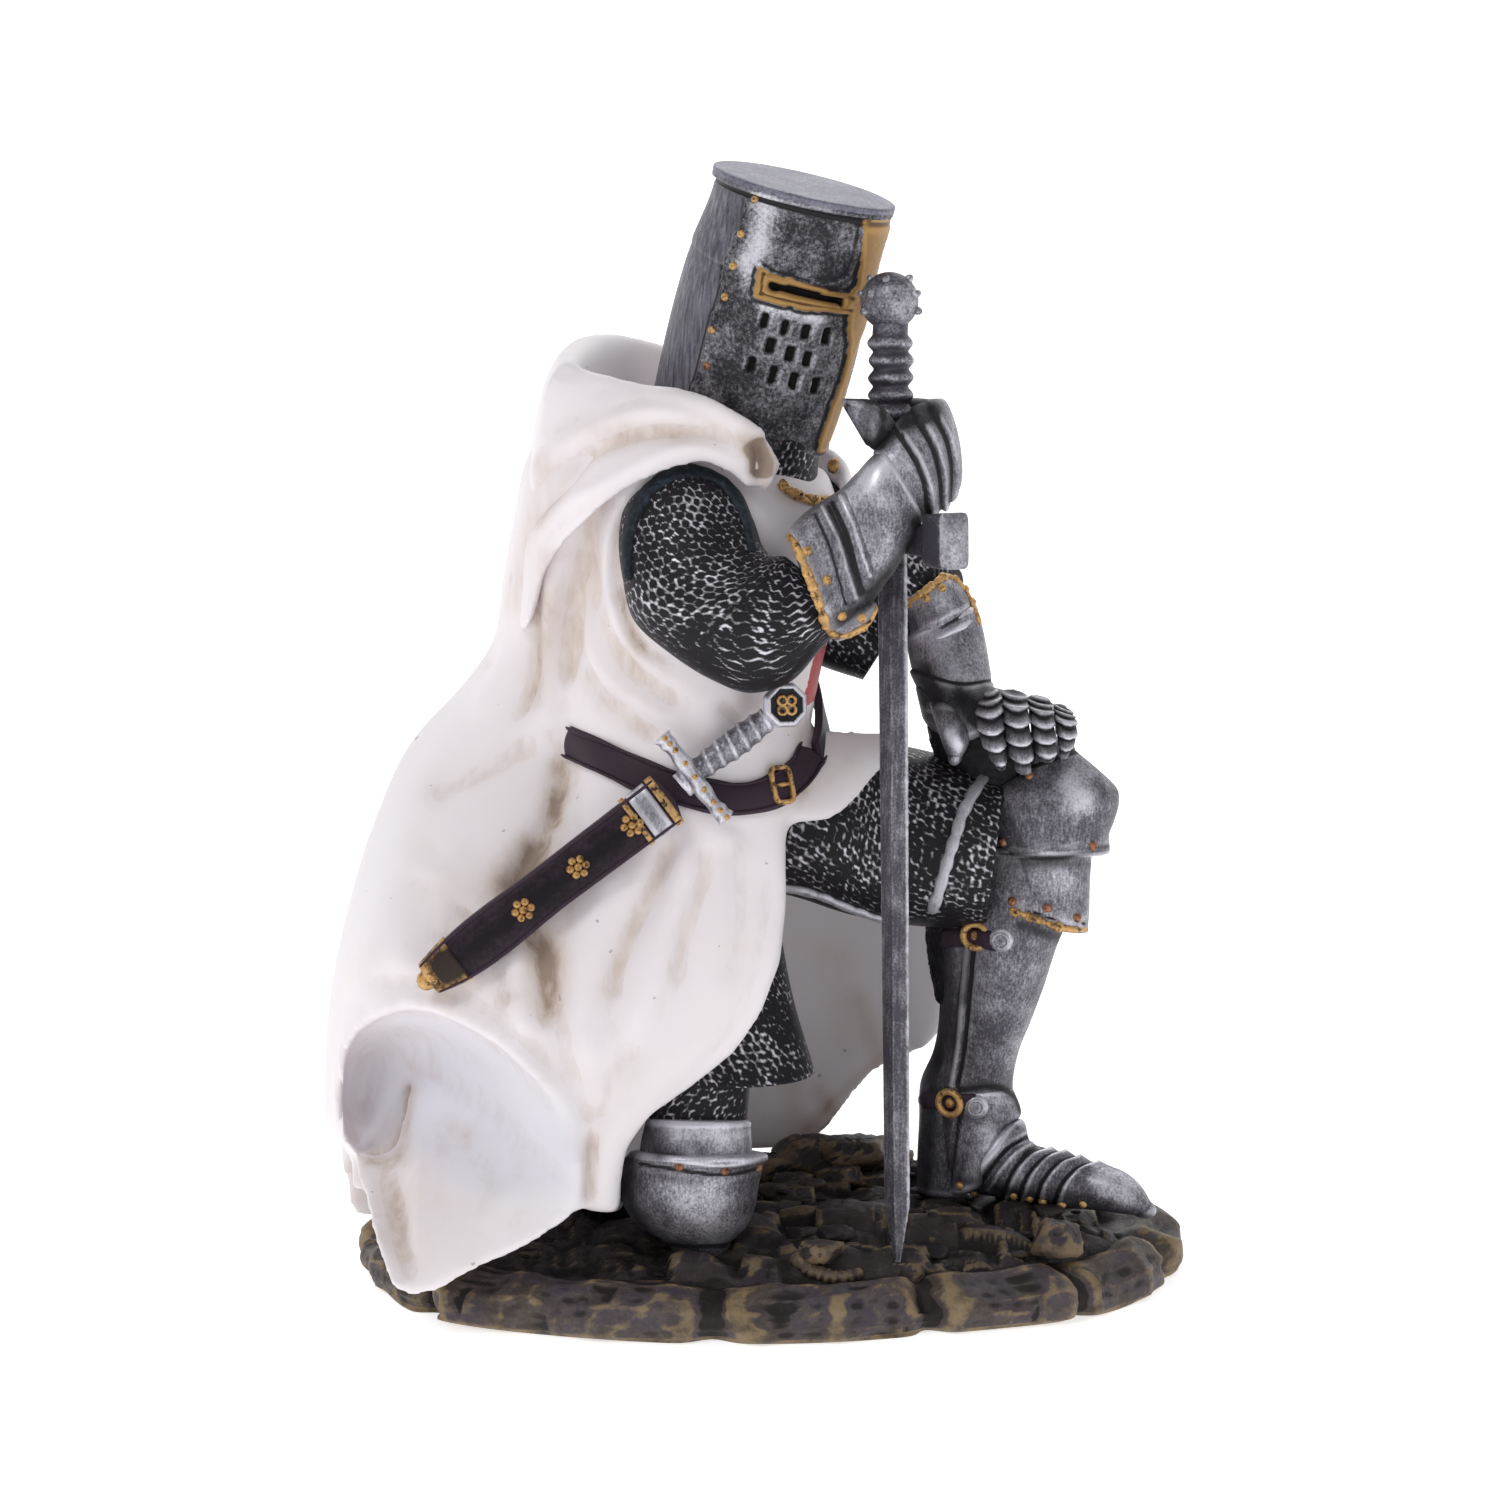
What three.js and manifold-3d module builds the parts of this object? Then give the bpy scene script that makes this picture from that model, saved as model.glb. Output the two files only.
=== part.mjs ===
import * as THREE from 'three';
import { mergeVertices } from 'three/addons/utils/BufferGeometryUtils.js';
import Module from 'manifold-3d';

const wasm = await Module();
wasm.setup();

// A cast figure of a kneeling knight on a round of rocks, hands on a sword and a knee.
// Millimetres, Z up. The origin is on the flat underside of the rock base; -Y is the side that is shown.

// Driving dimensions
const figureHeight = 158;
const groundHeight = 12;
const seatGap = 0.3;
const swordGap = 0.3;

const baseLength = 126.6;
const baseWidth = 86;
const baseCentreX = 2;
const baseCentreY = -4.2;
const rimHeight = 7.2;
const rimBulge = 1.4;
const rimStones = 9;
const stoneGapDepth = 3;
const stoneTopWidth = 8;
const rubbleHeight = 1.7;
const rockSize = 3;

const clothThickness = 2.2;
const flapThickness = 3.4;
const beltWidth = 5.6;
const beltThickness = 1.2;
const lameStep = 0.6;

const bladeWidth = 7.4;
const bladeThickness = 2.6;
const bladeTipLength = 9;
const bladeTipWidth = 0.8;
const gripRadius = 2.4;
const gripRings = 6;
const gripRingHeight = 0.6;
const pommelRadius = 4.3;
const guardHalfLength = 16;
const guardHeight = 4.2;
const guardDepth = 4.4;
const guardEndLength = 5.5;
const guardEndHeight = 7.2;
const guardEndProud = 0.8;
const guardTurn = -58;

const scabbardWidth = 7.6;
const scabbardThickness = 4;
const daggerGripRadius = 1.9;
const daggerPommelRadius = 4.2;
const daggerPommelThickness = 3.2;
const daggerGuardLength = 17;
const daggerGuardThickness = 2.8;

const crossBarWidth = 3.6;
const crossBarHeight = 0.9;
const sightFrameHeight = 6.4;
const sightSlitHeight = 1.6;
const sightSlitDepth = 1.2;

const facing = -28;

// Numbers in the stations below are 158ths of the figure's height, measured from the ground
// at the foot of the origin, so the pose and the proportions follow the height.
const share = figureHeight / 158;
const turn = THREE.MathUtils.degToRad(facing);
const front = new THREE.Vector3(Math.cos(turn), Math.sin(turn), 0);
const left = new THREE.Vector3(-Math.sin(turn), Math.cos(turn), 0);
const up = new THREE.Vector3(0, 0, 1);
const broadside = new THREE.Vector3(1, 0, 0);

function at(x, y, h) {
  return new THREE.Vector3(x * share, y * share, groundHeight + h * share);
}

// Smooth values between the rows of a list of stations; the first three numbers of a row are its place
function spacing(a, b) {
  return Math.hypot(b[0] - a[0], b[1] - a[1], b[2] - a[2]);
}

function between(rows, t) {
  const i = Math.min(Math.floor(t), rows.length - 2);
  const f = t - i;
  const a = rows[i];
  const b = rows[i + 1];
  const step = spacing(a, b);
  const leave = i > 0 ? spacing(rows[i - 1], a) : 0;
  const arrive = i + 2 < rows.length ? spacing(b, rows[i + 2]) : 0;
  return a.map((value, k) => {
    const rise = b[k] - value;
    const back = i > 0 ? ((value - rows[i - 1][k]) * step) / leave : rise;
    const ahead = i + 2 < rows.length ? ((rows[i + 2][k] - b[k]) * step) / arrive : rise;
    const start = (back * step + rise * leave) / (step + leave);
    const end = (ahead * step + rise * arrive) / (step + arrive);
    return value + start * f + (3 * rise - 2 * start - end) * f * f + (start + end - 2 * rise) * f * f * f;
  });
}

// Solids from closed meshes
function solidOf(geometry) {
  const bare = geometry.clone();
  bare.deleteAttribute('normal');
  bare.deleteAttribute('uv');
  const merged = mergeVertices(bare, 1e-4);
  const vertProperties = new Float32Array(merged.attributes.position.array);
  const triVerts = new Uint32Array(merged.index.array);
  return new wasm.Manifold(new wasm.Mesh({ numProp: 3, vertProperties, triVerts }));
}

function signedVolume(points, triangles) {
  let sum = 0;
  const cross = new THREE.Vector3();
  for (const [a, b, c] of triangles) {
    sum += points[a].dot(cross.crossVectors(points[b], points[c]));
  }
  return sum / 6;
}

function closedSolid(points, triangles) {
  const turned = signedVolume(points, triangles) < 0;
  const geometry = new THREE.BufferGeometry();
  geometry.setAttribute('position', new THREE.Float32BufferAttribute(points.flatMap((p) => p.toArray()), 3));
  geometry.setIndex(triangles.flatMap(([a, b, c]) => (turned ? [a, c, b] : [a, b, c])));
  return solidOf(geometry);
}

function join(...solids) {
  return solids.flat().reduce((sum, solid) => sum.add(solid));
}

// A fold or a crease, drawn as it is seen from the shown side: a soft ridge along a line of [x, height],
// or a valley where its depth is minus
function fold(line, width, depth) {
  const points = line.map(([x, h]) => at(x, 0, h));
  const segment = new THREE.Line3();
  const nearest = new THREE.Vector3();
  const flat = new THREE.Vector3();
  return (p, normal) => {
    let gap = Infinity;
    flat.set(p.x, 0, p.z);
    for (let i = 0; i < points.length - 1; i += 1) {
      segment.set(points[i], points[i + 1]).closestPointToPoint(flat, true, nearest);
      gap = Math.min(gap, nearest.distanceTo(flat));
    }
    const reach = gap / (width * share);
    return depth * share * Math.exp(-reach * reach) * Math.max(0, -normal.y);
  };
}

function pushOut(rings, folds, closedRings) {
  if (!folds.length) {
    return rings;
  }
  const count = rings[0].length;
  return rings.map((ring, r) => ring.map((p, k) => {
    const before = closedRings ? ring[(k + count - 1) % count] : ring[Math.max(k - 1, 0)];
    const after = closedRings ? ring[(k + 1) % count] : ring[Math.min(k + 1, count - 1)];
    const over = rings[Math.min(r + 1, rings.length - 1)][k];
    const under = rings[Math.max(r - 1, 0)][k];
    const normal = after.clone().sub(before).cross(over.clone().sub(under)).normalize();
    const amount = folds.reduce((sum, f) => sum + f(p, normal), 0);
    return p.clone().addScaledVector(normal, amount);
  }));
}

// A closed solid over rings of points, with a flat or a domed end
function skin(rings) {
  const count = rings[0].length;
  const points = rings.flat();
  const triangles = [];
  for (let r = 0; r < rings.length - 1; r += 1) {
    for (let k = 0; k < count; k += 1) {
      const next = (k + 1) % count;
      const a = r * count + k;
      const b = r * count + next;
      const c = a + count;
      const d = b + count;
      triangles.push([a, b, d], [a, d, c]);
    }
  }
  for (const [start, flip] of [[0, true], [(rings.length - 1) * count, false]]) {
    const ring = points.slice(start, start + count);
    const centre = ring.reduce((sum, p) => sum.add(p), new THREE.Vector3()).divideScalar(count);
    points.push(centre);
    for (let k = 0; k < count; k += 1) {
      const a = start + k;
      const b = start + ((k + 1) % count);
      triangles.push(flip ? [points.length - 1, b, a] : [points.length - 1, a, b]);
    }
  }
  return closedSolid(points, triangles);
}

function rounded(value, power) {
  return Math.sign(value) * Math.abs(value) ** (2 / power);
}

// A limb, a plate or a body: rows of [x, y, height, half width, half depth] along its length.
// The half width lies along the side direction; a level one has sections that lie flat.
// With a number of lames, it is a row of plates, each standing out over the next.
function loft({ rows, side = left, level = false, around = 12, steps = 2, power = 2, folds = [], shape, lames }) {
  const last = rows.length - 1;
  const centreAt = (t) => at(...between(rows, t).slice(0, 3));
  const stops = [];
  if (lames) {
    for (let i = 0; i < lames; i += 1) {
      stops.push([(last * i) / lames, lameStep], [(last * (i + 1)) / lames, 0]);
    }
  } else {
    for (let s = 0; s <= last * steps; s += 1) {
      stops.push([s / steps, 0]);
    }
  }
  const rings = [];
  for (const [t, proud] of stops) {
    const [x, y, h, wide, deep] = between(rows, t);
    const along = centreAt(Math.min(t + 0.05, last)).sub(centreAt(Math.max(t - 0.05, 0))).normalize();
    const axis = level ? up : along;
    const across = side.clone().addScaledVector(axis, -side.dot(axis)).normalize();
    const out = axis.clone().cross(across);
    const ring = [];
    for (let k = 0; k < around; k += 1) {
      const angle = (2 * Math.PI * k) / around;
      const swell = shape ? shape(angle, t) : 1;
      ring.push(at(x, y, h)
        .addScaledVector(across, rounded(Math.cos(angle), power) * (wide * share * swell + proud))
        .addScaledVector(out, rounded(Math.sin(angle), power) * (deep * share * swell + proud)));
    }
    rings.push(ring);
  }
  return skin(pushOut(rings, folds, true));
}

// A sheet of cloth or plate: a grid of points, made smooth and given its thickness
function sheet({ grid, thickness, steps = 3, folds = [] }) {
  const rows = (grid.length - 1) * steps;
  const columns = (grid[0].length - 1) * steps;
  const surface = [];
  for (let r = 0; r <= rows; r += 1) {
    const line = grid[0].map((unused, c) => between(grid.map((row) => row[c]), r / steps));
    const points = [];
    for (let c = 0; c <= columns; c += 1) {
      points.push(at(...between(line, c / steps)));
    }
    surface.push(points);
  }
  const shaped = pushOut(surface, folds, false);
  const faces = [-0.5, 0.5].map((half) => pushOut(shaped, [() => half * thickness], false));
  const width = columns + 1;
  const points = faces.flat(2);
  const triangles = [];
  const other = width * (rows + 1);
  for (let r = 0; r < rows; r += 1) {
    for (let c = 0; c < columns; c += 1) {
      const a = r * width + c;
      const b = a + 1;
      const d = a + width;
      const e = d + 1;
      triangles.push([a, b, e], [a, e, d]);
      triangles.push([other + a, other + e, other + b], [other + a, other + d, other + e]);
    }
  }
  const edge = [];
  for (let c = 0; c < columns; c += 1) {
    edge.push([c, c + 1], [rows * width + c + 1, rows * width + c]);
  }
  for (let r = 0; r < rows; r += 1) {
    edge.push([(r + 1) * width, r * width], [r * width + columns, (r + 1) * width + columns]);
  }
  for (const [a, b] of edge) {
    triangles.push([b, a, other + a], [b, other + a, other + b]);
  }
  return closedSolid(points, triangles);
}

function block(length, depth, height) {
  return solidOf(new THREE.BoxGeometry(length, depth, height));
}

function placed(solid, origin, xAxis, zAxis) {
  const z = zAxis.clone().normalize();
  const x = xAxis.clone().addScaledVector(z, -xAxis.dot(z)).normalize();
  const y = z.clone().cross(x);
  const matrix = new THREE.Matrix4().makeBasis(x, y, z).setPosition(origin);
  return solid.transform(matrix.elements);
}

// Rock base: a ring of flat stones round a rough ground, with rocks on the open side.
// A rock's place is given in shares of the half length and the half width, and its root is in the ground.
const rockSpots = [[0.1, 0.19], [0.28, 0.24], [0.47, -0.32], [0.63, 0.42], [0.7, -0.53], [0.13, -0.76]];
const rockRoot = 1.4;

function looseRock(x, y, top, i) {
  const radius = rockSize * (0.8 + 0.1 * (i % 5));
  const rock = solidOf(new THREE.IcosahedronGeometry(radius, 0)).rotate([10 * i, 25 * i, 70 * i]);
  return rock.scale([1.3, 1, rockRoot]).translate([x, y, top - rockRoot * radius]);
}

function ripple(x, y) {
  const wave = Math.sin(0.61 * x + 1.3) * Math.cos(0.53 * y) + Math.sin(0.27 * x - 0.71 * y + 2.1);
  return 0.5 + 0.25 * wave;
}

const mound = [
  { inset: 2, level: rimHeight },
  { inset: stoneTopWidth, level: rimHeight + 0.5 },
  { inset: stoneTopWidth + 5, level: 0.4 * rimHeight + 0.6 * groundHeight },
  { inset: stoneTopWidth + 13, level: groundHeight },
  { inset: stoneTopWidth + 24, level: groundHeight },
];

function outline(angle, inset) {
  const x = rounded(Math.cos(angle), 2.3) * (baseLength / 2 - inset);
  const y = rounded(Math.sin(angle), 2.3) * (baseWidth / 2 - inset);
  return new THREE.Vector3(baseCentreX + x, baseCentreY + y, 0);
}

function rockBase() {
  const around = 42;
  const edge = [{ inset: 1.6, level: 0 }, { inset: 0, level: 0.35 * rimHeight }, { inset: 0.5, level: 0.8 * rimHeight }];
  const rings = [...edge, ...mound].map(({ inset, level }, r) => {
    const ring = [];
    for (let k = 0; k < around; k += 1) {
      const angle = (2 * Math.PI * k) / around;
      const stone = (angle * rimStones) / (2 * Math.PI) + 0.35 * Math.sin(angle * 2 + 0.6);
      const seam = Math.abs(stone - Math.round(stone));
      const gap = r < 5 ? Math.exp(-((seam / 0.08) ** 2)) : 0;
      const swell = rimBulge * Math.sin(3 * angle + 1) + 0.5 * rimBulge * Math.sin(7 * angle);
      const point = outline(angle, inset + gap * stoneGapDepth - (r < 5 ? swell : 0));
      const dip = r < 5 ? gap * 1.2 : rubbleHeight * ripple(point.x, point.y);
      point.z = r ? level - (r > 1 ? dip : 0) : 0;
      ring.push(point);
    }
    return ring;
  });
  const ground = skin(rings);
  const rocks = rockSpots.map(([x, y], i) => looseRock(
    baseCentreX + (x * baseLength) / 2,
    baseCentreY + (y * baseWidth) / 2,
    groundHeight + 0.45 * rockSize,
    i,
  ));
  rocks.push(looseRock(swordTip.x, swordTip.y, swordTip.z, rocks.length));
  return join(ground, rocks);
}

// What the figure rests on: the level of the ground, with its gap
function seat() {
  const around = 28;
  const rings = [{ inset: 0, level: -1 }, { inset: 0, level: rimHeight }, ...mound].map(({ inset, level }, r) => {
    const ring = [];
    for (let k = 0; k < around; k += 1) {
      const point = outline((2 * Math.PI * k) / around, inset - (r < 4 ? 2 * rimBulge : 1));
      point.z = level + seatGap;
      ring.push(point);
    }
    return ring;
  });
  return skin(rings);
}

// White cloth: surcoat, cloak and cowl
const surcoatFolds = [
  fold([[-25, 89], [-20, 79], [-13, 73]], 3.2, -1.6),
  fold([[-19, 90], [-14, 81], [-7, 76]], 3.2, -1.2),
  fold([[-17, 101], [-20, 93], [-17, 84]], 3, 1.2),
  fold([[-7, 62], [-10, 55], [-16, 46]], 3, -1.6),
  fold([[-3, 62], [-5, 54], [-7, 49]], 2.6, -0.9),
  fold([[-1, 58], [-2, 46], [-8, 34]], 4.5, 0.8),
];

function surcoat() {
  const body = loft({
    level: true,
    around: 20,
    steps: 1,
    power: 2.5,
    rows: [
      [-9, -12, 60, 16.6, 16],
      [-9, -12, 74, 17.4, 17.2],
      [-8, -12, 82, 18.2, 17.6],
      [-6, -13, 91, 19.2, 17.2],
      [-4, -13, 99, 19.5, 15.5],
      [-2, -13, 106, 18, 13],
      [0, -13, 112, 13, 10],
    ],
    folds: surcoatFolds,
  });
  const skirt = loft({
    side: broadside,
    level: true,
    around: 22,
    steps: 1,
    power: 3,
    rows: [
      [-34.5, -22, -1, 22.5, 22],
      [-33.8, -22.5, 15, 22.8, 22],
      [-26.8, -21.3, 24, 25.8, 22],
      [-16.2, -19, 34, 25.2, 22],
      [-10.4, -17, 44, 22.4, 21.5],
      [-8.7, -14.8, 56, 19.7, 19],
      [-8.4, -12.8, 66, 17.9, 17.2],
      [-9, -12, 76, 15, 15],
    ],
    folds: surcoatFolds,
  });
  return join(body, skirt);
}

function cloak() {
  const backFold = (angle, t) => {
    const behind = Math.max(0, Math.cos(angle - 1.1));
    return 1 + 0.05 * behind * Math.max(0, 1 - t / 9) * Math.cos(9 * angle + 0.5);
  };
  return loft({
    level: true,
    around: 28,
    steps: 1,
    shape: backFold,
    rows: [
      [-29.5, -9, -1, 32.5, 32.5],
      [-30, -9, 10, 33.5, 33.5],
      [-29, -7.5, 28, 34.3, 34.3],
      [-28, -5, 44, 32.5, 32.5],
      [-27, -2, 57, 26.8, 30.5],
      [-26.2, 3, 69, 20, 26.2],
      [-22, 3, 77, 19, 22.6],
      [-18.8, 2, 84, 19, 20.6],
      [-17.2, -1.5, 94, 20, 20.2],
      [-15.8, -6.5, 104, 19.6, 19.4],
      [-14.5, -10, 114, 18, 18.5],
      [-14, -9, 120, 14, 15.5],
    ],
    folds: [
      fold([[-7, 117], [-22, 110], [-29, 105], [-33, 100], [-37, 90]], 3.2, 1.5),
      fold([[-17, 121], [-23, 116], [-32, 109], [-36, 100]], 3.2, -1.2),
      fold([[-31, 76], [-38, 71], [-46, 68]], 3.4, -1.2),
      fold([[-30, 63], [-34, 56], [-37, 49]], 4, -2.2),
      fold([[-32, 50], [-31, 38], [-28, 30]], 3.6, -1.8),
      fold([[-44, 62], [-49, 52], [-52, 44]], 6, 1.2),
    ],
  });
}

function cowl() {
  return loft({
    side: up,
    around: 10,
    power: 2.8,
    rows: [
      [6, -29.5, 111, 2.5, 2],
      [-2, -31, 114.5, 5.5, 3.2],
      [-12, -30, 117, 8, 4.6],
      [-22, -23, 117, 9.3, 5],
      [-27.3, -9, 118, 10.2, 4.8],
      [-22, 4, 119.2, 10.4, 4.6],
      [-9, 10, 117.5, 9.6, 4.6],
      [4, 8, 112, 7, 4],
      [12, 0, 110, 5, 3.2],
      [14.5, -10, 108, 2.5, 2],
    ],
  });
}

function hemArch() {
  const opening = loft({
    side: up,
    around: 14,
    rows: [
      [-47, -62, 14, 24, 17],
      [-44, -45, 14, 22, 18],
      [-43, -36, 13, 20, 18],
      [-42, -28, 10, 14, 13],
    ],
  });
  const flap = sheet({
    thickness: flapThickness,
    steps: 2,
    grid: [
      [[-56, -14, 27], [-48, -22, 31], [-40, -27, 31], [-30, -31, 27], [-22, -36, 18]],
      [[-57, -22, 18], [-48, -31, 22], [-40, -34, 22], [-30, -38, 19], [-21.5, -42, 15]],
      [[-57, -30, 9], [-48.5, -39, 11], [-40, -40, 11], [-31, -42, 10], [-22, -43.5, 11]],
      [[-53, -40, -2], [-47.6, -46, -3], [-41.6, -46, -0.6], [-33, -45.5, 2.2], [-25, -44.5, 7]],
    ],
  });
  return { opening, flap };
}

// The edge of the surcoat runs in a curve over the kneeling leg, and the cloth is open in front
function frontOpening() {
  const outline = [[-19, -4], [-19, 9], [-18, 15.5], [-14.5, 20.5], [-8.5, 24.4], [-2.5, 29], [1.5, 35], [4.4, 42],
    [5.2, 50], [5.2, 62], [60, 62], [60, -4]];
  const shape = new THREE.Shape(outline.map(([x, h]) => new THREE.Vector2(x * share, groundHeight + h * share)));
  const depth = 70 * share;
  const prism = new THREE.ExtrudeGeometry(shape, { depth, bevelEnabled: false }).rotateX(Math.PI / 2);
  const beside = solidOf(prism).translate([0, 8 * share, 0]);
  const hollow = loft({
    level: true,
    around: 14,
    rows: [[6, 0, -3, 21, 28], [6, 0, 18, 20, 26], [4, 0, 36, 17, 20], [2, -1, 48, 12, 14]],
  });
  return join(beside, hollow);
}

function farPanel() {
  return sheet({
    thickness: clothThickness,
    steps: 2,
    grid: [
      [[-14, 12, 66], [2, 14, 62], [16, 13, 58]],
      [[-14, 19, 36], [8, 22, 36], [31, 20, 36]],
      [[-18, 22, 18], [6, 24, 18], [30, 21, 18]],
      [[-20, 22, 0], [-2, 24.5, 0], [12, 24, 1]],
    ],
  });
}

function thighFlap() {
  return sheet({
    thickness: clothThickness,
    steps: 2,
    grid: [
      [[2, -18, 73], [11, -13, 72.5], [21, -8, 71.5]],
      [[3, -24, 67], [11, -20.5, 67.5], [20.5, -13, 69.8]],
      [[4, -27, 61.2], [11.5, -23.5, 61], [20.5, -15, 68.2]],
    ],
  });
}

// Mail
function mailParts() {
  const neck = loft({
    level: true,
    around: 12,
    steps: 1,
    rows: [[-1, -13, 106, 11, 11], [1, -13.5, 114, 10, 10], [2, -14, 122, 10, 10], [2.5, -14, 128, 9, 9]],
  });
  const rightArm = loft({
    around: 10,
    rows: [
      [-8, -22, 110, 7, 7],
      [-8.6, -28, 104, 10.5, 9.5],
      [-8, -32, 96, 10, 9],
      [-3.5, -36, 88, 8.5, 8],
      [2, -37, 89, 7.5, 7.6],
      [9, -36, 96, 6, 6],
    ],
  });
  const leftArm = loft({
    side: up,
    around: 10,
    rows: [[4, 3, 106, 8, 8], [13, 8, 99, 9, 8], [20, 7, 94, 8.5, 8], [28, 1, 90, 6.5, 6.5]],
  });
  const leftDroop = loft({
    side: up,
    around: 8,
    steps: 1,
    rows: [[4, 3, 96, 8, 7], [12, 4, 88, 7.5, 6], [20, 3, 83, 5.5, 5]],
  });
  const thigh = loft({
    side: up,
    around: 14,
    steps: 1,
    power: 2.3,
    rows: [[-8, 0, 60, 12, 12], [5, -5, 60, 12, 15.5], [18, -6, 57, 13, 15.5], [31, -8, 54.8, 12.4, 13]],
  });
  const rightThigh = loft({
    level: true,
    around: 12,
    steps: 1,
    rows: [[-8, -18, 58, 10, 10], [-6, -20, 46, 10.5, 10], [-3.8, -22, 34, 9.8, 10.4], [-1.5, -24, 23, 11.4, 11]],
  });
  return join(neck, rightArm, leftArm, leftDroop, thigh, rightThigh);
}

// Plate armour
function legPlates() {
  const rightKnee = loft({
    level: true,
    around: 12,
    rows: [[-8.8, -28, -1, 5, 5], [-8.8, -28.5, 3, 8, 8], [-8.8, -29, 9, 9.4, 9.4], [-8.4, -28.5, 15, 9, 9]],
  });
  const rightRim = loft({
    level: true,
    around: 18,
    steps: 1,
    rows: [[-8.2, -28.5, 14.6, 9.6, 9.6], [-8, -28.5, 17, 9.6, 9.6]],
  });
  const rightLame = loft({
    level: true,
    around: 14,
    steps: 1,
    rows: [[-7.5, -28, 15, 7.6, 7.6], [-6.5, -27.5, 26, 7.6, 7.6]],
  });
  const leftKnee = loft({
    level: true,
    around: 14,
    steps: 1,
    rows: [
      [44.3, -9, 52, 9.2, 8.8],
      [44.8, -9, 54, 8.8, 8.6],
      [45.8, -9, 59, 9.6, 9.4],
      [45.6, -9, 63.5, 9.2, 9],
      [44.6, -8.5, 67, 6.8, 6.6],
      [43.6, -8, 68.6, 3, 3],
    ],
  });
  const leftShank = loft({
    level: true,
    around: 12,
    steps: 1,
    rows: [
      [39.5, -7, 62, 8.5, 9],
      [38.5, -7, 55, 8.5, 11],
      [37.5, -6, 46, 8.2, 10.4],
      [36.5, -5, 38, 8, 9.6],
      [35.2, -4, 29, 7.4, 8.6],
      [33.8, -2.5, 18, 5.8, 6.6],
      [32.2, -1.5, 9, 5.6, 6.2],
    ],
  });
  const leftLame = loft({
    level: true,
    around: 14,
    steps: 1,
    rows: [[44.2, -9.5, 52.5, 8.8, 8.2], [43.6, -9, 47, 8.4, 7.8], [43, -9, 42.6, 9, 8.2]],
  });
  const footRows = [
    [31, 0.5, 6, 5.8, 6],
    [38, -3.5, 4.8, 6.2, 5.2],
    [46, -8, 3.6, 6.4, 4],
    [53, -11.8, 2.6, 6, 3.2],
    [58, -14.5, 1.6, 4.4, 2.2],
  ];
  const heel = loft({
    side: left,
    power: 2.4,
    rows: [[25.5, 3.5, 4.5, 4, 4.5], [28, 2, 6, 5.6, 6.5], [34, -1.2, 5.5, 6, 5.8]],
  });
  const foot = join(heel, loft({ side: left, around: 12, power: 2.4, lames: 5, rows: footRows }));
  return join(rightKnee, rightRim, rightLame, leftKnee, leftShank, leftLame, foot);
}

function cuff(rows, side) {
  const rim = loft({ side, around: 10, steps: 1, rows: rows.slice(0, 2) });
  const sleeve = loft({ side, around: 10, lames: 2, rows: rows.slice(1) });
  return join(rim, sleeve);
}

function armPlates() {
  const rightCuff = cuff([
    [7.6, -35, 95.6, 9.2, 8.2],
    [8.6, -35, 96.4, 8.6, 7.8],
    [11.5, -35, 98.6, 7.2, 6.8],
    [15, -35, 101.4, 6, 5.8],
    [17, -35, 103.4, 5.8, 5.6],
  ], up);
  const rightPalm = loft({
    side: up,
    around: 10,
    power: 2.5,
    rows: [[13, -35.5, 100.5, 5.4, 5.2], [16.5, -35.5, 106, 6.8, 5.6], [20.5, -34.8, 110.5, 7.4, 5]],
  });
  const rightFingers = loft({
    side: up,
    around: 10,
    power: 2.5,
    lames: 4,
    rows: [[20, -35, 110.2, 7.2, 4.6], [24.6, -32.4, 114, 7.2, 4], [26.4, -28, 115, 7, 3.6], [24.5, -24.5, 115, 6.5, 3]],
  });
  const rightThumb = loft({
    around: 8,
    steps: 1,
    rows: [[20, -33, 112, 3, 3.5], [17.5, -34, 118, 3.2, 4.4], [14.2, -34.5, 123, 1, 1.2]],
  });
  const leftCuff = cuff([
    [23.6, 0.5, 94.5, 8.8, 8.6],
    [24.4, 0.2, 93, 8.2, 8],
    [26.8, -0.8, 88, 7.4, 7.2],
    [29.8, -2, 80.5, 6.8, 6.4],
    [31, -3, 76, 5.8, 5.4],
  ], left);
  const leftPalm = loft({
    side: left,
    around: 10,
    power: 2.5,
    rows: [[30, -2.5, 79, 5.5, 5], [35, -5.5, 73.5, 6.6, 4.6], [39, -7.5, 72, 7, 4.2]],
  });
  const fingerSpread = 3.5;
  const leftFingers = [];
  for (let finger = 0; finger < 4; finger += 1) {
    const b = (finger - 1.5) * fingerSpread;
    const dx = b * left.x;
    const dy = b * left.y;
    const bend = finger === 0 ? -1 : 0;
    leftFingers.push(loft({
      side: left,
      around: 5,
      lames: 4,
      rows: [
        [37 + dx, -6.8 + dy, 72.4, 2, 3],
        [43 + dx, -9.8 + dy, 72.2 + bend, 2, 2.7],
        [47.2 + dx, -12 + dy, 70 + bend, 1.9, 2.4],
        [48.6 + dx, -12.6 + dy, 66 + bend, 1.8, 2],
      ],
    }));
  }
  const leftThumb = loft({
    around: 8,
    steps: 1,
    rows: [[34, -8, 74, 2.6, 2.6], [31.5, -11.5, 70, 2.4, 2.4], [30, -13, 66, 1.8, 1.8]],
  });
  return join(rightCuff, rightPalm, rightFingers, rightThumb, leftCuff, leftPalm, ...leftFingers, leftThumb);
}

// Great helm on its own axis, leaning forward
const helmFoot = at(-0.4, -10.8, 124);
const helmTop = at(7.7, -15.1, 154.2);
const helmAxis = helmTop.clone().sub(helmFoot).normalize();
const helmLength = helmTop.distanceTo(helmFoot);

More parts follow.
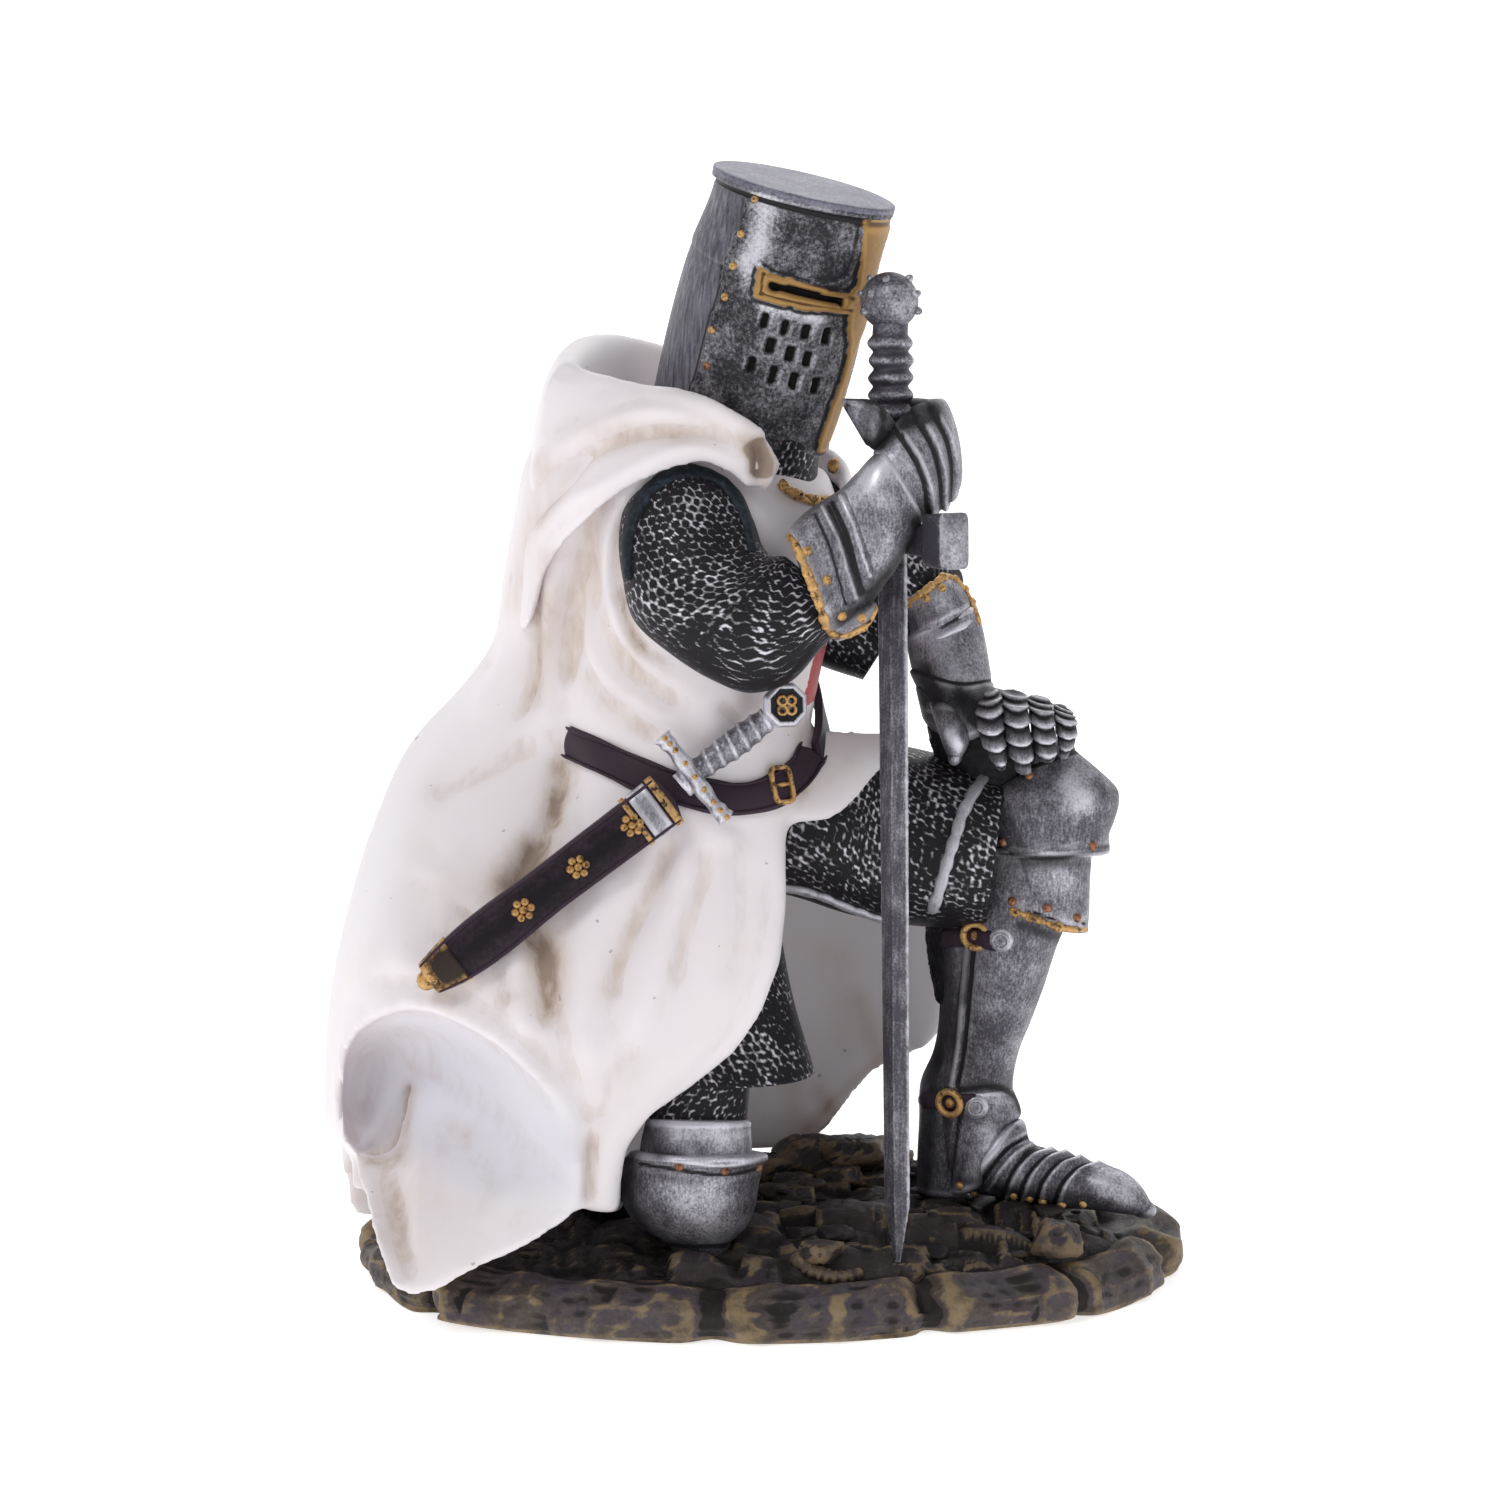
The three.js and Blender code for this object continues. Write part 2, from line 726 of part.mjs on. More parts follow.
function helmBarrel(proud) {
  const keel = (angle) => 1 + 0.05 * Math.max(0, Math.cos(angle)) ** 6;
  return loft({
    side: front,
    around: 16,
    shape: keel,
    steps: 1,
    rows: [
      [-2, -10, 118.5, 13.1 + proud, 12.8 + proud],
      [-0.4, -10.8, 124, 13.5 + proud, 13.2 + proud],
      [3.5, -12.9, 139, 13.5 + proud, 13.3 + proud],
      [7.4, -15, 152.8, 12.4 + proud, 12.4 + proud],
      [7.7, -15.1, 154, 12.8 + proud, 12.8 + proud],
    ],
  });
}

function helm() {
  const barrel = helmBarrel(0);
  const reach = helmTop.clone().addScaledVector(helmAxis, -0.43 * helmLength);
  const inHelm = (solid) => placed(solid, reach, front, helmAxis);
  const upright = block(30, crossBarWidth, 2 * helmLength).translate([15, 0, 0]);
  const sight = block(30, 26 * share, sightFrameHeight).translate([18, 0, 0]);
  const slit = join(...[-1, 1].map((hand) => block(30, 8 * share, sightSlitHeight)
    .translate([18, hand * 7 * share, 0])));
  const cross = helmBarrel(crossBarHeight).intersect(inHelm(join(upright, sight)));
  const cut = inHelm(slit).subtract(helmBarrel(-sightSlitDepth));
  return join(barrel, cross).subtract(cut);
}

// Belt, dagger and scabbard
function belt() {
  const band = loft({
    side: broadside,
    level: true,
    around: 24,
    steps: 1,
    power: 2.7,
    rows: [
      [-8.5, -13.6, 58, 19.2 + beltThickness, 18.5 + beltThickness],
      [-8.4, -12.6, 66, 18.2 + beltThickness, 17.5 + beltThickness],
      [-8.6, -12, 74, 17.8 + beltThickness, 17.2 + beltThickness],
      [-8, -12, 82, 18.2 + beltThickness, 17.6 + beltThickness],
    ],
  });
  const loop = block(80, 80, beltWidth);
  return band.intersect(placed(loop, at(-9, -28, 65.4), broadside, new THREE.Vector3(0, -0.5, 1)));
}

function dagger() {
  const wide = scabbardWidth / 2;
  const thick = scabbardThickness / 2;
  const scabbard = loft({
    side: new THREE.Vector3(-0.55, 0, 0.83),
    around: 10,
    steps: 1,
    power: 3,
    rows: [
      [-46, -37, 40.4, 0.7 * wide, 0.8 * thick],
      [-43, -37, 42.7, 0.88 * wide, 0.9 * thick],
      [-28, -35.5, 54.2, 0.94 * wide, 0.9 * thick],
      [-12, -32.5, 66.5, wide, thick],
    ],
  });
  const grip = loft({
    around: 8,
    steps: 2,
    rows: [[-9, -32, 69, daggerGripRadius, daggerGripRadius], [2.5, -31.5, 77.5, daggerGripRadius, daggerGripRadius]],
  });
  const disc = solidOf(new THREE.CylinderGeometry(daggerPommelRadius, daggerPommelRadius, daggerPommelThickness, 14));
  const pommel = placed(disc, at(5.2, -31.5, 79.2), new THREE.Vector3(1, 0, 0), new THREE.Vector3(0, 0.15, 1));
  const bar = block(daggerGuardLength, daggerGuardThickness, daggerGuardThickness);
  const guard = placed(bar, at(-7.6, -32.5, 68.5), new THREE.Vector3(8.5, -1, -11.5), new THREE.Vector3(0.81, 0, 0.59));
  return join(scabbard, grip, pommel, guard);
}

// Sword, point down in the rubble
const swordTip = at(21.7, -36, -2.4);
const swordHead = at(20.2, -27, 137.4);
const swordAxis = swordHead.clone().sub(swordTip).normalize();

function sword(room) {
  const bladeToHead = swordHead.distanceTo(swordTip);
  const guardAt = 106 * share;
  const section = (half, z, thick) => [[half, 0], [half * 0.3, thick], [-half * 0.5, thick], [-half, 0],
    [-half * 0.5, -thick], [half * 0.3, -thick]].map(([a, b]) => new THREE.Vector3(a, b, z));
  const blade = skin([
    section(bladeTipWidth / 2 + room, -room, bladeTipWidth / 2 + room),
    section(bladeWidth * 0.4 + 2 * room, bladeTipLength, bladeThickness / 2 + room),
    section(bladeWidth / 2 + 2 * room, guardAt, bladeThickness / 2 + room),
  ]);
  const solidBar = (length, depth, height) => block(length + 2 * room, depth + 2 * room, height + 2 * room);
  const cross = solidBar(2 * guardHalfLength, guardDepth, guardHeight).translate([0, 0, guardAt]);
  const ends = [-1, 1].map((hand) => solidBar(guardEndLength, guardDepth + guardEndProud, guardEndHeight)
    .translate([hand * (guardHalfLength - guardEndLength / 2), 0, guardAt]));
  const profile = [new THREE.Vector2(0, guardAt)];
  const gripLength = bladeToHead - guardAt;
  const rings = gripRings * 2;
  profile.push(new THREE.Vector2(gripRadius + room, guardAt));
  for (let i = 1; i < rings; i += 1) {
    const swell = i % 2 ? gripRingHeight : 0;
    profile.push(new THREE.Vector2(gripRadius + swell + room, guardAt + gripLength * (0.45 + 0.5 * (i / rings))));
  }
  profile.push(new THREE.Vector2(gripRadius + room, bladeToHead), new THREE.Vector2(0, bladeToHead));
  const grip = solidOf(new THREE.LatheGeometry(profile, 8).rotateX(Math.PI / 2));
  const pommel = solidOf(new THREE.SphereGeometry(pommelRadius + room, 10, 7)).translate([0, 0, bladeToHead]);
  const whole = join(blade, cross, ...ends, grip, pommel);
  const angle = THREE.MathUtils.degToRad(guardTurn);
  return placed(whole, swordTip, new THREE.Vector3(Math.cos(angle), Math.sin(angle), 0), swordAxis);
}

const materials = {
  rock_base: new THREE.MeshStandardMaterial({ color: 0x3a302b, roughness: 0.85, metalness: 0 }),
  knight: new THREE.MeshStandardMaterial({ color: 0xd9d2cb, roughness: 0.6, metalness: 0 }),
  sword: new THREE.MeshStandardMaterial({ color: 0x6b6c70, roughness: 0.45, metalness: 0.6 }),
};

function meshOf(name, solid) {
  const data = solid.getMesh();
  const geometry = new THREE.BufferGeometry();
  geometry.setAttribute('position', new THREE.BufferAttribute(data.vertProperties, 3));
  geometry.setIndex(new THREE.BufferAttribute(data.triVerts, 1));
  geometry.computeVertexNormals();
  const mesh = new THREE.Mesh(geometry, materials[name]);
  mesh.name = name;
  return mesh;
}

function build() {
  const base = rockBase();
  const { opening, flap } = hemArch();
  const cloth = join(join(surcoat(), cloak()).subtract(opening).subtract(frontOpening()), flap, farPanel(), thighFlap(), cowl());
  const figure = join(cloth, mailParts(), legPlates(), armPlates(), helm(), belt(), dagger());
  const socket = sword(swordGap);
  const knight = figure.subtract(seat()).subtract(socket);
  const group = new THREE.Group();
  group.add(meshOf('rock_base', base.subtract(socket)), meshOf('knight', knight), meshOf('sword', sword(0)));
  return group;
}

export default build();
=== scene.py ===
import math
import bpy
import numpy as np
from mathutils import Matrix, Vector
from mathutils.bvhtree import BVHTree


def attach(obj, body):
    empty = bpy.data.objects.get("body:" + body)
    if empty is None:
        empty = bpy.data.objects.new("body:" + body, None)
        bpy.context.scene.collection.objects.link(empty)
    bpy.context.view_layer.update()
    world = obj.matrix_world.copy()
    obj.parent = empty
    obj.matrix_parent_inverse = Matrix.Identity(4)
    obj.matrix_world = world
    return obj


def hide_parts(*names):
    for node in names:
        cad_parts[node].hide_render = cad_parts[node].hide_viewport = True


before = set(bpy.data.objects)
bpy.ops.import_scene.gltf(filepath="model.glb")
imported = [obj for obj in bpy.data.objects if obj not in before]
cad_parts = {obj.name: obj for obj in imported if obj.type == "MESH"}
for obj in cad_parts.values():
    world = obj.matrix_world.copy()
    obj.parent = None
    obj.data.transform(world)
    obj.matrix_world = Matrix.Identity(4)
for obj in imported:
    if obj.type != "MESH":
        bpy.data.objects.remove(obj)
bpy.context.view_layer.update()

print("frame loaded:", list(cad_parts))

mm = 0.001
ground = 12.0  # the figure's own heights start here, in mm
gaze = math.radians(-28)
front = np.array([math.cos(gaze), math.sin(gaze), 0.0])  # the way the knight looks
left = np.array([-front[1], front[0], 0.0])
up = np.array([0.0, 0.0, 1.0])
broad = np.array([1.0, 0.0, 0.0])
dice = np.random.default_rng(11)

camera = {"distance": 757.0, "elevation": 8.5, "aim": 80.0, "lens": 120.0, "frame": 1500.0}
tilt = math.radians(camera["elevation"])
sensor = 36.0
focal = camera["frame"] * camera["lens"] / sensor
middle = camera["frame"] / 2
eye = np.array([0.0, -math.cos(tilt) * camera["distance"], camera["aim"] + math.sin(tilt) * camera["distance"]])
ahead = np.array([0.0, math.cos(tilt), -math.sin(tilt)])
over = np.array([0.0, math.sin(tilt), math.cos(tilt)])


# places in the picture and in the round, all in mm

def seen(points):
    d = np.asarray(points, float) - eye
    depth = d @ ahead
    return np.stack([middle + focal * d[..., 0] / depth, middle - focal * (d @ over) / depth], -1)


def sightLine(px, py):
    line = ahead + (px - middle) / focal * broad - (py - middle) / focal * over
    return line / np.linalg.norm(line)


def atPixel(px, py, y):  # the point behind a place in the picture, at a depth
    line = sightLine(px, py)
    return eye + line * (y - eye[1]) / line[1]


def unit(v):
    v = np.asarray(v, float)
    return v / np.maximum(np.linalg.norm(v, axis=-1, keepdims=True), 1e-9)


def between(rows, t):  # a smooth run through the rows; their first three numbers are a place
    rows = np.asarray(rows, float)
    gap = np.maximum(np.linalg.norm(np.diff(rows[:, :3], axis=0), axis=1), 1e-6)[:, None]
    rate = np.diff(rows, axis=0) / gap
    slope = np.vstack([rate[:1], (rate[:-1] * gap[1:] + rate[1:] * gap[:-1]) / (gap[:-1] + gap[1:]), rate[-1:]])
    t = np.clip(np.asarray(t, float), 0, len(rows) - 1)
    i = np.minimum(t.astype(int), len(rows) - 2)
    f = (t - i)[:, None]
    rise, start, end = rows[i + 1] - rows[i], slope[i] * gap[i], slope[i + 1] * gap[i]
    return rows[i] + start * f + (3 * rise - 2 * start - end) * f ** 2 + (start + end - 2 * rise) * f ** 3


def evenly(rows, pitch):  # stops along the rows at even distances
    t = np.linspace(0, len(rows) - 1, 50 * (len(rows) - 1) + 1)
    path = between(rows, t)[:, :3]
    run = np.concatenate([[0], np.cumsum(np.linalg.norm(np.diff(path, axis=0), axis=1))])
    count = max(2, int(math.ceil(run[-1] / pitch)) + 1)
    even = np.linspace(0, run[-1], count)
    return np.interp(even, run, t), even


def rounded(value, power):
    return np.sign(value) * np.abs(value) ** (2 / power)


def oval(count, power=2.0, other=None):  # angles round a section, with its squared-off cosine and sine
    angle = np.linspace(0, 2 * math.pi, count, endpoint=False)
    return angle, rounded(np.cos(angle), power), rounded(np.sin(angle), other or power)


def flatOn(normal):  # the normal at length one, and two ways across it
    normal = unit(normal)
    a = unit(np.cross(normal, up if abs(normal[2]) < 0.9 else broad))
    return normal, a, np.cross(normal, a)


def wheel(a, b, angle):  # ways out from a hub, at these angles
    return a * np.cos(angle)[:, None] + b * np.sin(angle)[:, None]


def ease(value):
    value = np.clip(value, 0, 1)
    return value * value * (3 - 2 * value)


class Loft:  # rows of [x, y, height, half width, half depth]; the half width lies along the side
    def __init__(self, rows, pitch, side=left, level=False, power=2.0):
        rows = np.asarray(rows, float)
        self.t, self.run = evenly(rows, pitch)
        value = between(rows, self.t)
        self.centre = value[:, :3] + [0, 0, ground]
        path = np.gradient(self.centre, axis=0)
        self.axis = np.tile(up, (len(path), 1)) if level else unit(path)
        across = unit(side - self.axis * (self.axis @ side)[:, None])
        self.out = np.cross(self.axis, across)
        girth = math.pi * (value[:, 3].max() + value[:, 4].max())
        self.angle, c, s = oval(max(6, int(girth / pitch)), power)
        self.points = (self.centre[:, None] + across[:, None] * (c * value[:, 3:4])[..., None]
                       + self.out[:, None] * (s * value[:, 4:5])[..., None])
        self.turn()

    def turn(self):  # outward directions of the surface, and how far round it each point is
        p = self.points
        n = unit(np.cross(np.roll(p, -1, 1) - np.roll(p, 1, 1), np.gradient(p, axis=0)))
        self.normal = -n if (n * (p - self.centre[:, None])).sum() < 0 else n
        step = np.linalg.norm(np.diff(p, axis=1), axis=2)
        self.arc = np.concatenate([np.zeros((len(p), 1)), np.cumsum(step, 1)], 1)

    def push(self, amount):
        self.points = self.points + self.normal * np.asarray(amount)[..., None]

    def shell(self, dome=0.0):
        return shell(self.points, dome * self.axis[0], dome * self.axis[-1])


def shell(points, below=0.0, above=0.0):  # a closed skin over rings of points, with a fan at either end
    rows, count = points.shape[:2]
    index = np.arange(rows * count).reshape(rows, count)
    after = np.roll(index, -1, 1)
    faces = [np.stack([index[:-1], after[:-1], after[1:], index[1:]], -1).reshape(-1, 4)]
    hubs = [points[0].mean(0) - below, points[-1].mean(0) + above]
    for k, row in enumerate((0, -1)):
        hub = np.full(count, rows * count + k)
        faces.append(np.stack([index[row], after[row], hub, hub] if k else [after[row], index[row], hub, hub], -1))
    return np.vstack([points.reshape(-1, 3), hubs]), np.vstack(faces)


class Ribs(Loft):  # rows of [x, y] at one edge, [x, y] at the other, both in the picture, depth and half thickness
    def __init__(self, rows, pitch, power=2.0, ends=(0, 0)):
        rows = np.asarray(rows, float)
        a = np.array([atPixel(r[0], r[1], r[4]) for r in rows])
        b = np.array([atPixel(r[2], r[3], r[4]) for r in rows])
        data = np.hstack([(a + b) / 2, (b - a) / 2, rows[:, 5:6]])
        self.t, self.run = evenly(data, pitch)
        value = between(data, self.t)
        self.centre, half, deep = value[:, :3], value[:, 3:6], value[:, 6:7]
        self.axis = unit(np.gradient(self.centre, axis=0))
        for last, bulge in enumerate(ends):
            if bulge:
                half, deep = self.roundOff(last, bulge, half, deep, pitch)
        girth = math.pi * (np.linalg.norm(half, axis=1).max() + deep.max())
        self.angle, c, s = oval(max(8, int(girth / pitch)), power)
        self.points = (self.centre[:, None] + half[:, None] * c[None, :, None]
                       + ahead * (s[None, :] * deep)[..., None])
        self.turn()

    def roundOff(self, last, bulge, half, deep, pitch):
        k, way = (-1, 1) if last else (0, -1)
        arc = np.linspace(0, math.pi / 2 * 0.97, max(4, int(bulge * 1.6 / pitch)))[1:]
        rise, scale = bulge * np.sin(arc), np.cos(arc)[:, None]
        new = [self.centre[k] + self.axis[k] * way * rise[:, None], half[k] * scale, deep[k] * scale,
               np.tile(self.axis[k], (len(arc), 1)), self.run[k] + way * rise]
        old = [self.centre, half, deep, self.axis, self.run]
        both = [np.concatenate([o, n] if last else [n[::-1], o]) for o, n in zip(old, new)]
        self.centre, half, deep, self.axis, self.run = both
        return half, deep


def engraved(form, lines):  # grooves, ridges and plate edges by their lines in the picture
    spots, facing = seen(form.points.reshape(-1, 3)), (form.normal.reshape(-1, 3) @ -ahead) > 0.02
    push = np.zeros(len(spots))
    for line, width, depth, kind in lines:
        lap = kind == "lap"
        i, dist, side, _ = near(spots, softLine(line), width * (9 if lap else 3), facing)
        if lap:  # the plate on the right-hand side of the line lies over the other
            d = dist * side
            on = 0.5 + 0.5 * np.tanh(d / width * 1.5)
            fade, dip = np.exp(-np.maximum(d, 0) / (width * 5)), np.exp(-(d / (2 * width)) ** 2)
            push[i] += depth * (on * fade - 0.45 * (1 - on) * dip)
        else:
            push[i] += depth * np.exp(-(dist / width) ** 2)
    form.push(push.reshape(form.points.shape[:2]))


def sheetGrid(grid, pitch):  # a smooth sheet through a grid of points, first down it and then across
    for _ in range(2):
        grid = np.asarray(grid, float)
        steps = int(max(np.linalg.norm(np.diff(grid, axis=0), axis=2).sum(0).max() / pitch, 2))
        stops = np.linspace(0, len(grid) - 1, steps + 1)
        grid = np.array([between(grid[:, c], stops) for c in range(grid.shape[1])])
    return grid


def slab(points, thickness, inside=0.5):  # gives a sheet its thickness; 0.5 is half on either side
    n = unit(np.cross(np.gradient(points, axis=1), np.gradient(points, axis=0))) * thickness
    rows, count = points.shape[:2]
    index, far = np.arange(rows * count).reshape(rows, count), rows * count
    q = np.stack([index[:-1, :-1], index[:-1, 1:], index[1:, 1:], index[1:, :-1]], -1).reshape(-1, 4)
    border = np.concatenate([index[0, :-1], index[:-1, -1], index[-1, :0:-1], index[:0:-1, 0]])
    after = np.roll(border, -1)
    rim = np.stack([after, border, border + far, after + far], -1)
    both = np.vstack([(points + n * (1 - inside)).reshape(-1, 3), (points - n * inside).reshape(-1, 3)])
    return both, np.vstack([q, q[:, ::-1] + far, rim])


def trim(path, normal, width, height, around=10):  # a rounded band that lies on a surface
    path = np.asarray(path, float)
    along = unit(np.gradient(path, axis=0))
    across = unit(np.cross(along, np.asarray(normal, float)))
    _, c, s = oval(around, 2.4, 2.2)
    size = np.ones(len(path))
    size[[0, -1]] = 0.55
    half = (width * size)[:, None] / 2
    return shell(path[:, None] + across[:, None] * (c * half)[..., None]
                 + np.cross(across, along)[:, None] * (s * size[:, None] * height)[..., None])


def ring(centre, normal, radius, thick, squash=1.0, count=28, around=8):
    normal, a, b = flatOn(normal)
    out = wheel(a, b * squash, oval(count)[0])
    _, c, s = oval(around)
    p = centre + out[:, None] * (radius + thick * c)[None, :, None] + normal * (thick * s)[None, :, None]
    index = np.arange(count * around).reshape(count, around)
    after = np.roll(index, -1, 0)
    quads = np.stack([index, np.roll(index, -1, 1), np.roll(after, -1, 1), after], -1)
    return p.reshape(-1, 3), quads.reshape(-1, 4)


def dome(centre, normal, radius, height, sink=0.3, around=12, rings=5):  # rivets, bosses and studs
    normal, a, b = flatOn(normal)
    out = wheel(a, b, oval(around)[0])
    stops = [(1.0, -sink)] + [(math.cos(f), height * math.sin(f)) for f in np.linspace(0, math.pi / 2 * 0.92, rings)]
    return shell(np.array([centre + out * radius * r + normal * h for r, h in stops]))


def pebbled(centre, normal, radius, height, jag=0.2):
    verts, faces = dome(centre, normal, radius, height, around=9, rings=4)
    return verts + dice.normal(0, jag * radius * 0.25, verts.shape), faces


class Surface:  # a built form that details are pinned to by their place in the picture
    def __init__(self, *forms):
        verts, faces = joined(forms)
        self.tree = BVHTree.FromPolygons(verts.tolist(), faceLists(faces))

    def pin(self, px, py):
        hit, normal, _, _ = self.tree.ray_cast(Vector(eye), Vector(sightLine(px, py)))
        if hit is None:
            hit, normal, _, _ = self.tree.find_nearest(Vector(atPixel(px, py, -25)))
        hit, normal = np.array(hit), np.array(normal)
        return hit, normal if normal @ ahead < 0 else -normal

    def along(self, line, pitch=0.5, lift=0.0):
        rows = softLine(line, 12)
        run = np.concatenate([[0], np.cumsum(np.linalg.norm(np.diff(rows, axis=0), axis=1))])
        even = np.linspace(0, run[-1], max(3, int(run[-1] / (6.7 * pitch))))
        pins = np.array([self.pin(*p) for p in zip(*(np.interp(even, run, rows[:, k]) for k in (0, 1)))])
        for _ in range(2):
            pins[1:-1] = (pins[:-2] + pins[1:-1] * 2 + pins[2:]) / 4
        path, normal = pins[:, 0], unit(pins[:, 1])
        return path + normal * lift, normal


class Piece:  # gathers forms into one mesh
    def __init__(self):
        self.forms, self.paint, self.marks = [], [], []

    def add(self, form, paint=0, **marks):
        verts, quads = form
        a, b, c, d = (verts[quads[:, k]] - verts.mean(0) for k in range(4))
        if (a * np.cross(b, c)).sum() + (a * np.cross(c, d)).sum() < 0:
            three = quads[:, 2] == quads[:, 3]
            quads = np.where(three[:, None], quads[:, [0, 2, 1, 1]], quads[:, [0, 3, 2, 1]])
        self.forms.append((verts, quads))
        self.paint += [paint] * len(quads)
        self.marks.append({k: np.ravel(v) for k, v in marks.items()})

    def make(self, name, paints, node="knight", slot="painted_figure", fine=3, wide=25):
        points, faces = joined(self.forms)
        mesh = bpy.data.meshes.new(name)
        mesh.from_pydata((points * mm).tolist(), [], faceLists(faces))
        mesh.polygons.foreach_set("material_index", np.array(self.paint, np.int32))
        for key in sorted({k for m in self.marks for k in m} | {"stain"}):
            values = []
            for (verts, _), marks in zip(self.forms, self.marks):  # one value for a whole form, or one a point
                got, count = marks.get(key, np.zeros(1)), len(verts)
                values.append(np.resize(got, count) if len(got) == 1 else np.append(got, np.zeros(count - len(got))))
            mark(mesh, key, np.concatenate(values))
        markRelief(mesh, fine, wide)
        return finish(name, mesh, paints, node)


def joined(forms):  # points in mm and faces of several forms as one
    start = np.cumsum([0] + [len(verts) for verts, _ in forms])
    return np.vstack([verts for verts, _ in forms]), np.vstack([faces + k for (_, faces), k in zip(forms, start)])


def faceLists(faces):  # a face that names its last corner twice is a triangle
    return [f[:3] if f[2] == f[3] else f for f in faces.tolist()]


def asMesh(name, forms):
    points, faces = joined(forms)
    mesh = bpy.data.meshes.new(name)
    mesh.from_pydata((points * mm).tolist(), [], faceLists(faces))
    mesh.validate()
    return mesh


def asObject(name, mesh):
    made = bpy.data.objects.new(name, mesh)
    bpy.context.scene.collection.objects.link(made)
    return made


def settle(thing):  # applies the modifiers
    graph = bpy.context.evaluated_depsgraph_get()
    mesh = bpy.data.meshes.new_from_object(thing.evaluated_get(graph))
    old = thing.data
    thing.modifiers.clear()
    thing.data = mesh
    bpy.data.meshes.remove(old)
    return thing


def voxels(thing, size):
    change = thing.modifiers.new("voxels", "REMESH")
    change.mode, change.voxel_size, change.adaptivity = "VOXEL", size * mm, 0
    return settle(thing)


def carve(thing, cutters):
    for cutter in cutters:
        change = thing.modifiers.new("cut", "BOOLEAN")
        change.operation, change.solver, change.object = "DIFFERENCE", "EXACT", cutter
    return settle(thing)


def discard(*things):
    for thing in things:
        mesh = thing.data
        bpy.data.objects.remove(thing)
        bpy.data.meshes.remove(mesh)


def numbersOf(items, key, wide=3, kind=float):
    values = np.empty(len(items) * wide, kind)
    items.foreach_get(key, values)
    return values.reshape(-1, wide)


def placesOf(mesh):
    return numbersOf(mesh.vertices, "co") / mm


def movePlaces(mesh, points):
    mesh.vertices.foreach_set("co", (np.asarray(points) * mm).ravel())
    mesh.update()


def levelled(values, edges, passes):  # each point moves to the middle of its neighbours
    a, b = edges.T
    n = len(values)
    count = np.maximum(np.bincount(a, minlength=n) + np.bincount(b, minlength=n), 1)[:, None]
    values = values.reshape(n, -1).copy()
    for _ in range(passes):
        total = [np.bincount(a, v[b], n) + np.bincount(b, v[a], n) for v in values.T]
        values = np.stack(total, -1) / count
    return values


def mark(mesh, name, values):
    layer = mesh.attributes.new(name, "FLOAT", "POINT")
    layer.data.foreach_set("value", np.asarray(values, np.float32).ravel())


def outwards(mesh):
    return numbersOf(mesh.vertex_normals, "vector")


def edgesOf(mesh):
    return numbersOf(mesh.edges, "vertices", 2, int)


def markRelief(mesh, fine=3, wide=25):  # how far each point stands out of or lies below what is round it
    points, normals, edges = placesOf(mesh), outwards(mesh), edgesOf(mesh)
    base = points
    for name, passes in (("fine", fine), ("wide", wide)):
        base = levelled(base, edges, passes)
        mark(mesh, name, ((points - base) * normals).sum(1))


def smooth(mesh):
    mesh.polygons.foreach_set("use_smooth", np.ones(len(mesh.polygons), bool))
    mesh.update()


def toLine(places, line):  # distance to a line in the picture, the side of it, and how far along it is
    best, side, along = np.full(len(places), 1e9), np.zeros(len(places)), np.zeros(len(places))
    lengths = np.linalg.norm(np.diff(line, axis=0), axis=1)
    run = 0.0
    for a, b, length in zip(line[:-1], line[1:], lengths):
        d = b - a
        f = np.clip(((places - a) @ d) / (length * length), 0, 1)
        off = places - (a + f[:, None] * d)
        dist = np.hypot(off[:, 0], off[:, 1])
        nearer = dist < best
        best = np.where(nearer, dist, best)
        side = np.where(nearer, np.sign(d[0] * off[:, 1] - d[1] * off[:, 0]), side)
        along = np.where(nearer, (run + f * length) / lengths.sum(), along)
        run += length
    return best, side, along


def near(places, line, reach, among):  # which points lie near a line, and their distance, side and run on it
    box = (places >= line.min(0) - reach).all(1) & (places <= line.max(0) + reach).all(1) & among
    chosen = np.nonzero(box)[0]
    return (chosen, *toLine(places[chosen], line))


def softLine(points, count=6):  # a smooth line through places in the picture
    rows = np.column_stack([np.asarray(points, float), np.zeros(len(points))])
    return between(rows, np.linspace(0, len(rows) - 1, count * (len(rows) - 1) + 1))[:, :2]


def brushed(spots, strokes, among, reach=2.5, spread=1.0):  # soft strokes: [line, width in pixels, strength]
    out = np.zeros(len(spots))
    for line, width, strength in strokes:
        i, dist, _, _ = near(spots, softLine(line), width * reach, among)
        out[i] += strength * np.exp(-(dist / (width * spread)) ** 2)
    return out


def inPolygon(places, polygon):
    polygon = np.asarray(polygon, float)
    inside = np.zeros(len(places), bool)
    x, y = places[:, 0], places[:, 1]
    for (x1, y1), (x2, y2) in zip(polygon, np.roll(polygon, -1, 0)):
        if y1 == y2:
            continue
        hit = (y1 > y) != (y2 > y)
        inside ^= hit & (x < (x2 - x1) * (y - y1) / (y2 - y1) + x1)
    return inside


def viewCutter(polygon, near, far):  # a block behind an outline in the picture, between two depths
    rings = np.array([[atPixel(px, py, y) for px, py in polygon] for y in (near, far)])
    return asObject("cutter", asMesh("cutter", [shell(rings)]))


def finish(name, mesh, paints, node="knight"):
    piece = asObject(name, mesh)
    for paint in paints:
        mesh.materials.append(paint)
    smooth(mesh)
    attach(piece, "root")
    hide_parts(node)
    print("made", name, len(mesh.polygons))
    return piece


